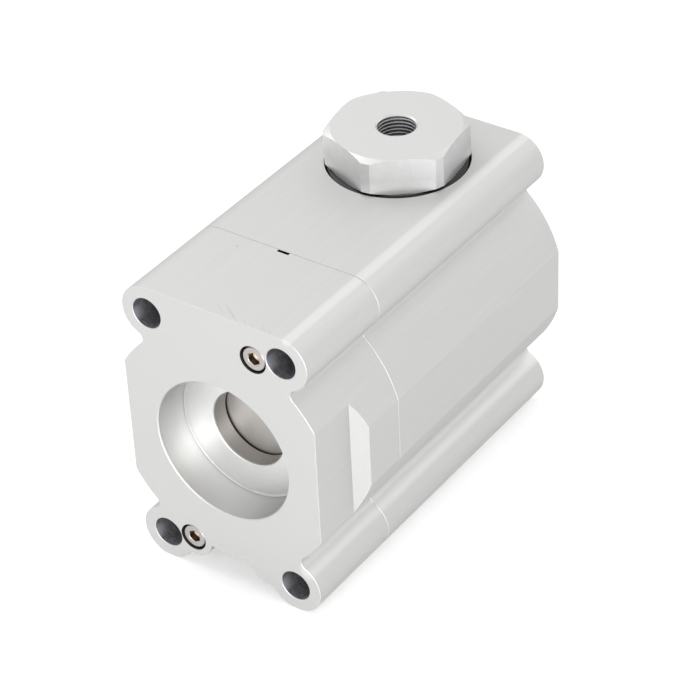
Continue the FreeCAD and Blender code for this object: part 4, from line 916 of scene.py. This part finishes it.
# %% Thread tree: ridge along the spiral
ROOT_SHARE = 0.86       # the ridge's width at its root and at its crest, as shares of the pitch
CREST_SHARE = 0.2
root_width = add(thread_tree, "ShaderNodeMath", {0: size["Pitch"], 1: ROOT_SHARE},
                 operation="MULTIPLY")
crest_width = add(thread_tree, "ShaderNodeMath", {0: size["Pitch"], 1: CREST_SHARE},
                  operation="MULTIPLY")
trapezoid = add(thread_tree, "GeometryNodeCurvePrimitiveQuadrilateral", {
    "Height": size["Depth"], "Bottom Width": root_width.outputs[0],
    "Top Width": crest_width.outputs[0], "Offset": 0.0}, mode="TRAPEZOID")
half_depth = add(thread_tree, "ShaderNodeMath", {0: size["Depth"], 1: 0.5},
                 operation="MULTIPLY")
rooted = add(thread_tree, "ShaderNodeCombineXYZ", {"Y": half_depth.outputs[0]})
profile = add(thread_tree, "GeometryNodeTransform", {
    "Geometry": trapezoid.outputs[0], "Translation": rooted.outputs[0]})
profile = add(thread_tree, "GeometryNodeTransform", {
    "Geometry": profile.outputs[0], "Rotation": (0, 0, math.pi / 2)})
ridge = add(thread_tree, "GeometryNodeCurveToMesh", {
    "Curve": thinned.outputs[0], "Profile Curve": profile.outputs[0], "Fill Caps": True})
start = add(thread_tree, "ShaderNodeCombineXYZ", {"Y": CAP_Y * MM, "Z": size["Start"]})
placed = add(thread_tree, "GeometryNodeTransform", {
    "Geometry": ridge.outputs[0], "Translation": start.outputs[0]})
real = add(thread_tree, "GeometryNodeRealizeInstances", {"Geometry": placed.outputs[0]})
finished = add(thread_tree, "GeometryNodeSetMaterial", {
    "Geometry": real.outputs[0], "Material": cap_finish})
add(thread_tree, "NodeGroupOutput", {0: finished.outputs[0]})
print("thread tree:", len(thread_tree.nodes), "nodes")

# %% The thread
TURNS = 7.4
THREAD_DROP = 0.9       # from the cap's top face to the end of the thread
OFF_WALL = 0.005        # from the hole's wall in to the ridge's broad side
thread = plain_mesh("exhaust_thread", thread_tree, {
    "Root Radius": (EXHAUST_R - OFF_WALL) * MM,
    "Pitch": PITCH * MM,
    "Depth": THREAD_DEPTH * MM,
    "Turns": TURNS,
    "Start": (CAP_TOP_Z - THREAD_DROP - PITCH * TURNS) * MM,
})
radii = [math.hypot(v.co.x, v.co.y - CAP_Y * MM) / MM for v in thread.data.vertices]
heights = [v.co.z / MM for v in thread.data.vertices]
print(f"thread from radius {min(radii):.2f} to {max(radii):.2f}, "
      f"height {min(heights):.2f} to {max(heights):.2f} mm")
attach(thread, "housing")

# %% [markdown]
# ## Floor and background
# The photograph has a pure white background. The world is white to the camera and to
# reflections, and a quarter dimmer as a light. The floor is a pale matt surface that catches
# the object's shadow, with a little light of its own for the camera, so that it fades to
# white.

# %% World
AMBIENT = 0.75      # how bright the world is as a light


def seen_directly(tree):
    """1 for what the camera sees, also in a reflection or through glass, and 0 for light."""
    rays = add(tree, "ShaderNodeLightPath").outputs
    seen = add(tree, "ShaderNodeMath", {0: rays["Is Camera Ray"], 1: rays["Is Glossy Ray"]},
               operation="MAXIMUM")
    return add(tree, "ShaderNodeMath", {0: seen.outputs[0], 1: rays["Is Transmission Ray"]},
               operation="MAXIMUM").outputs[0]


scene = bpy.context.scene
world = bpy.data.worlds.new("white studio")
scene.world = world
world.use_nodes = True
tree = world.node_tree
tree.nodes.clear()
level = add(tree, "ShaderNodeMapRange", {"Value": seen_directly(tree), "To Min": AMBIENT})
white = add(tree, "ShaderNodeBackground", {
    "Color": linear("#ffffff"), "Strength": level.outputs[0]})
add(tree, "ShaderNodeOutputWorld", {"Surface": white.outputs[0]})
print(f"world: white when seen, {AMBIENT} as a light")

# %% Floor
FLOOR_SIZE = 6.0
FLOOR_GLOW = 0.22
floor_z = cad_bounds[0][2]
half = FLOOR_SIZE / 2
corners = [(-half, -half, floor_z), (half, -half, floor_z), (half, half, floor_z),
           (-half, half, floor_z)]
floor_mesh = bpy.data.meshes.new("studio_floor")
floor_mesh.from_pydata(corners, [], [(0, 1, 2, 3)])
floor = bpy.data.objects.new("studio_floor", floor_mesh)
scene.collection.objects.link(floor)

paper, tree, shader, mm = start_finish("white backdrop paper", 0.0, 0.9)
shader.inputs["Base Color"].default_value = linear("#f4f4f4")
glow = add(tree, "ShaderNodeMath", {0: seen_directly(tree), 1: FLOOR_GLOW},
           operation="MULTIPLY")
shader.inputs["Emission Color"].default_value = linear("#ffffff")
tree.links.new(glow.outputs[0], shader.inputs["Emission Strength"])
floor_mesh.materials.append(paper)
print(f"floor at {floor_z / MM:.2f} mm")

# %% [markdown]
# ## Light
# Six large soft boxes stand round the object. The strongest is low, in front and to the right:
# it lights the faces that look towards the camera. The others are weaker. Large lamps close by
# give the soft changes of tone of a light tent.

# %% Soft boxes
AIM = Vector((0, 70, 0)) * MM
LAMP_DISTANCE = 1.2
SOFT_BOXES = [  # name, degrees round from the front, degrees up, width in metres, power
    ("left", -90, 45, 0.8, 3.9),
    ("front", 0, 20, 0.8, 2.4),
    ("overhead", 0, 88, 0.9, 0.9),
    ("low front right", 40, 5, 0.6, 8.9),
    ("back right", 150, 40, 0.8, 1.5),
    ("back left", 216, 30, 0.8, 0.3),
]


def direction(azimuth, elevation):
    """Unit vector from the object to a place so many radians round from the front and up."""
    return Vector((math.sin(azimuth) * math.cos(elevation),
                   -math.cos(azimuth) * math.cos(elevation), math.sin(elevation)))


for name, azimuth, elevation, width, power in SOFT_BOXES:
    away = direction(math.radians(azimuth), math.radians(elevation))
    light = bpy.data.lights.new(name, "AREA")
    light.shape = "SQUARE"
    light.size = width
    light.energy = power
    lamp = bpy.data.objects.new(name, light)
    lamp.location = AIM + away * LAMP_DISTANCE
    lamp.rotation_euler = away.to_track_quat("Z", "Y").to_euler()
    scene.collection.objects.link(lamp)
print(f"{len(SOFT_BOXES)} soft boxes")

# %% [markdown]
# ## Camera
# The camera stands where the photograph was taken from: 36 degrees round to the right, 36
# degrees up, with a small roll. The numbers come from fitting a pinhole camera to points
# measured in the photograph.

# %% Camera
AZIMUTH = math.radians(36.169)
ELEVATION = math.radians(35.858)
ROLL = math.radians(-2.865)
DISTANCE = 0.8886       # metres from the origin, before the camera moves aside and up
SIDE = 0.041106
UP = 0.032719
LENS = 142.15           # focal length and sensor width in millimetres
SENSOR = 36.0

back = direction(AZIMUTH, ELEVATION)
level_right = Vector((math.cos(AZIMUTH), math.sin(AZIMUTH), 0))
level_up = back.cross(level_right)
right = level_right * math.cos(ROLL) + level_up * math.sin(ROLL)
up = level_up * math.cos(ROLL) - level_right * math.sin(ROLL)
camera = bpy.data.objects.new("camera", bpy.data.cameras.new("camera"))
camera.data.lens = LENS
camera.data.sensor_width = SENSOR
camera.data.clip_start = 0.05
facing = Matrix((right, up, back)).transposed().to_4x4()
stand = back * DISTANCE + right * SIDE + up * UP
camera.matrix_world = Matrix.Translation(stand) @ facing
scene.collection.objects.link(camera)
scene.camera = camera
scene.view_settings.view_transform = "Standard"
print(f"camera {stand.length:.3f} m away, {LENS} mm lens")

# %% Size of the CAD model
print("CAD box", [list(corner) for corner in cad_bounds])
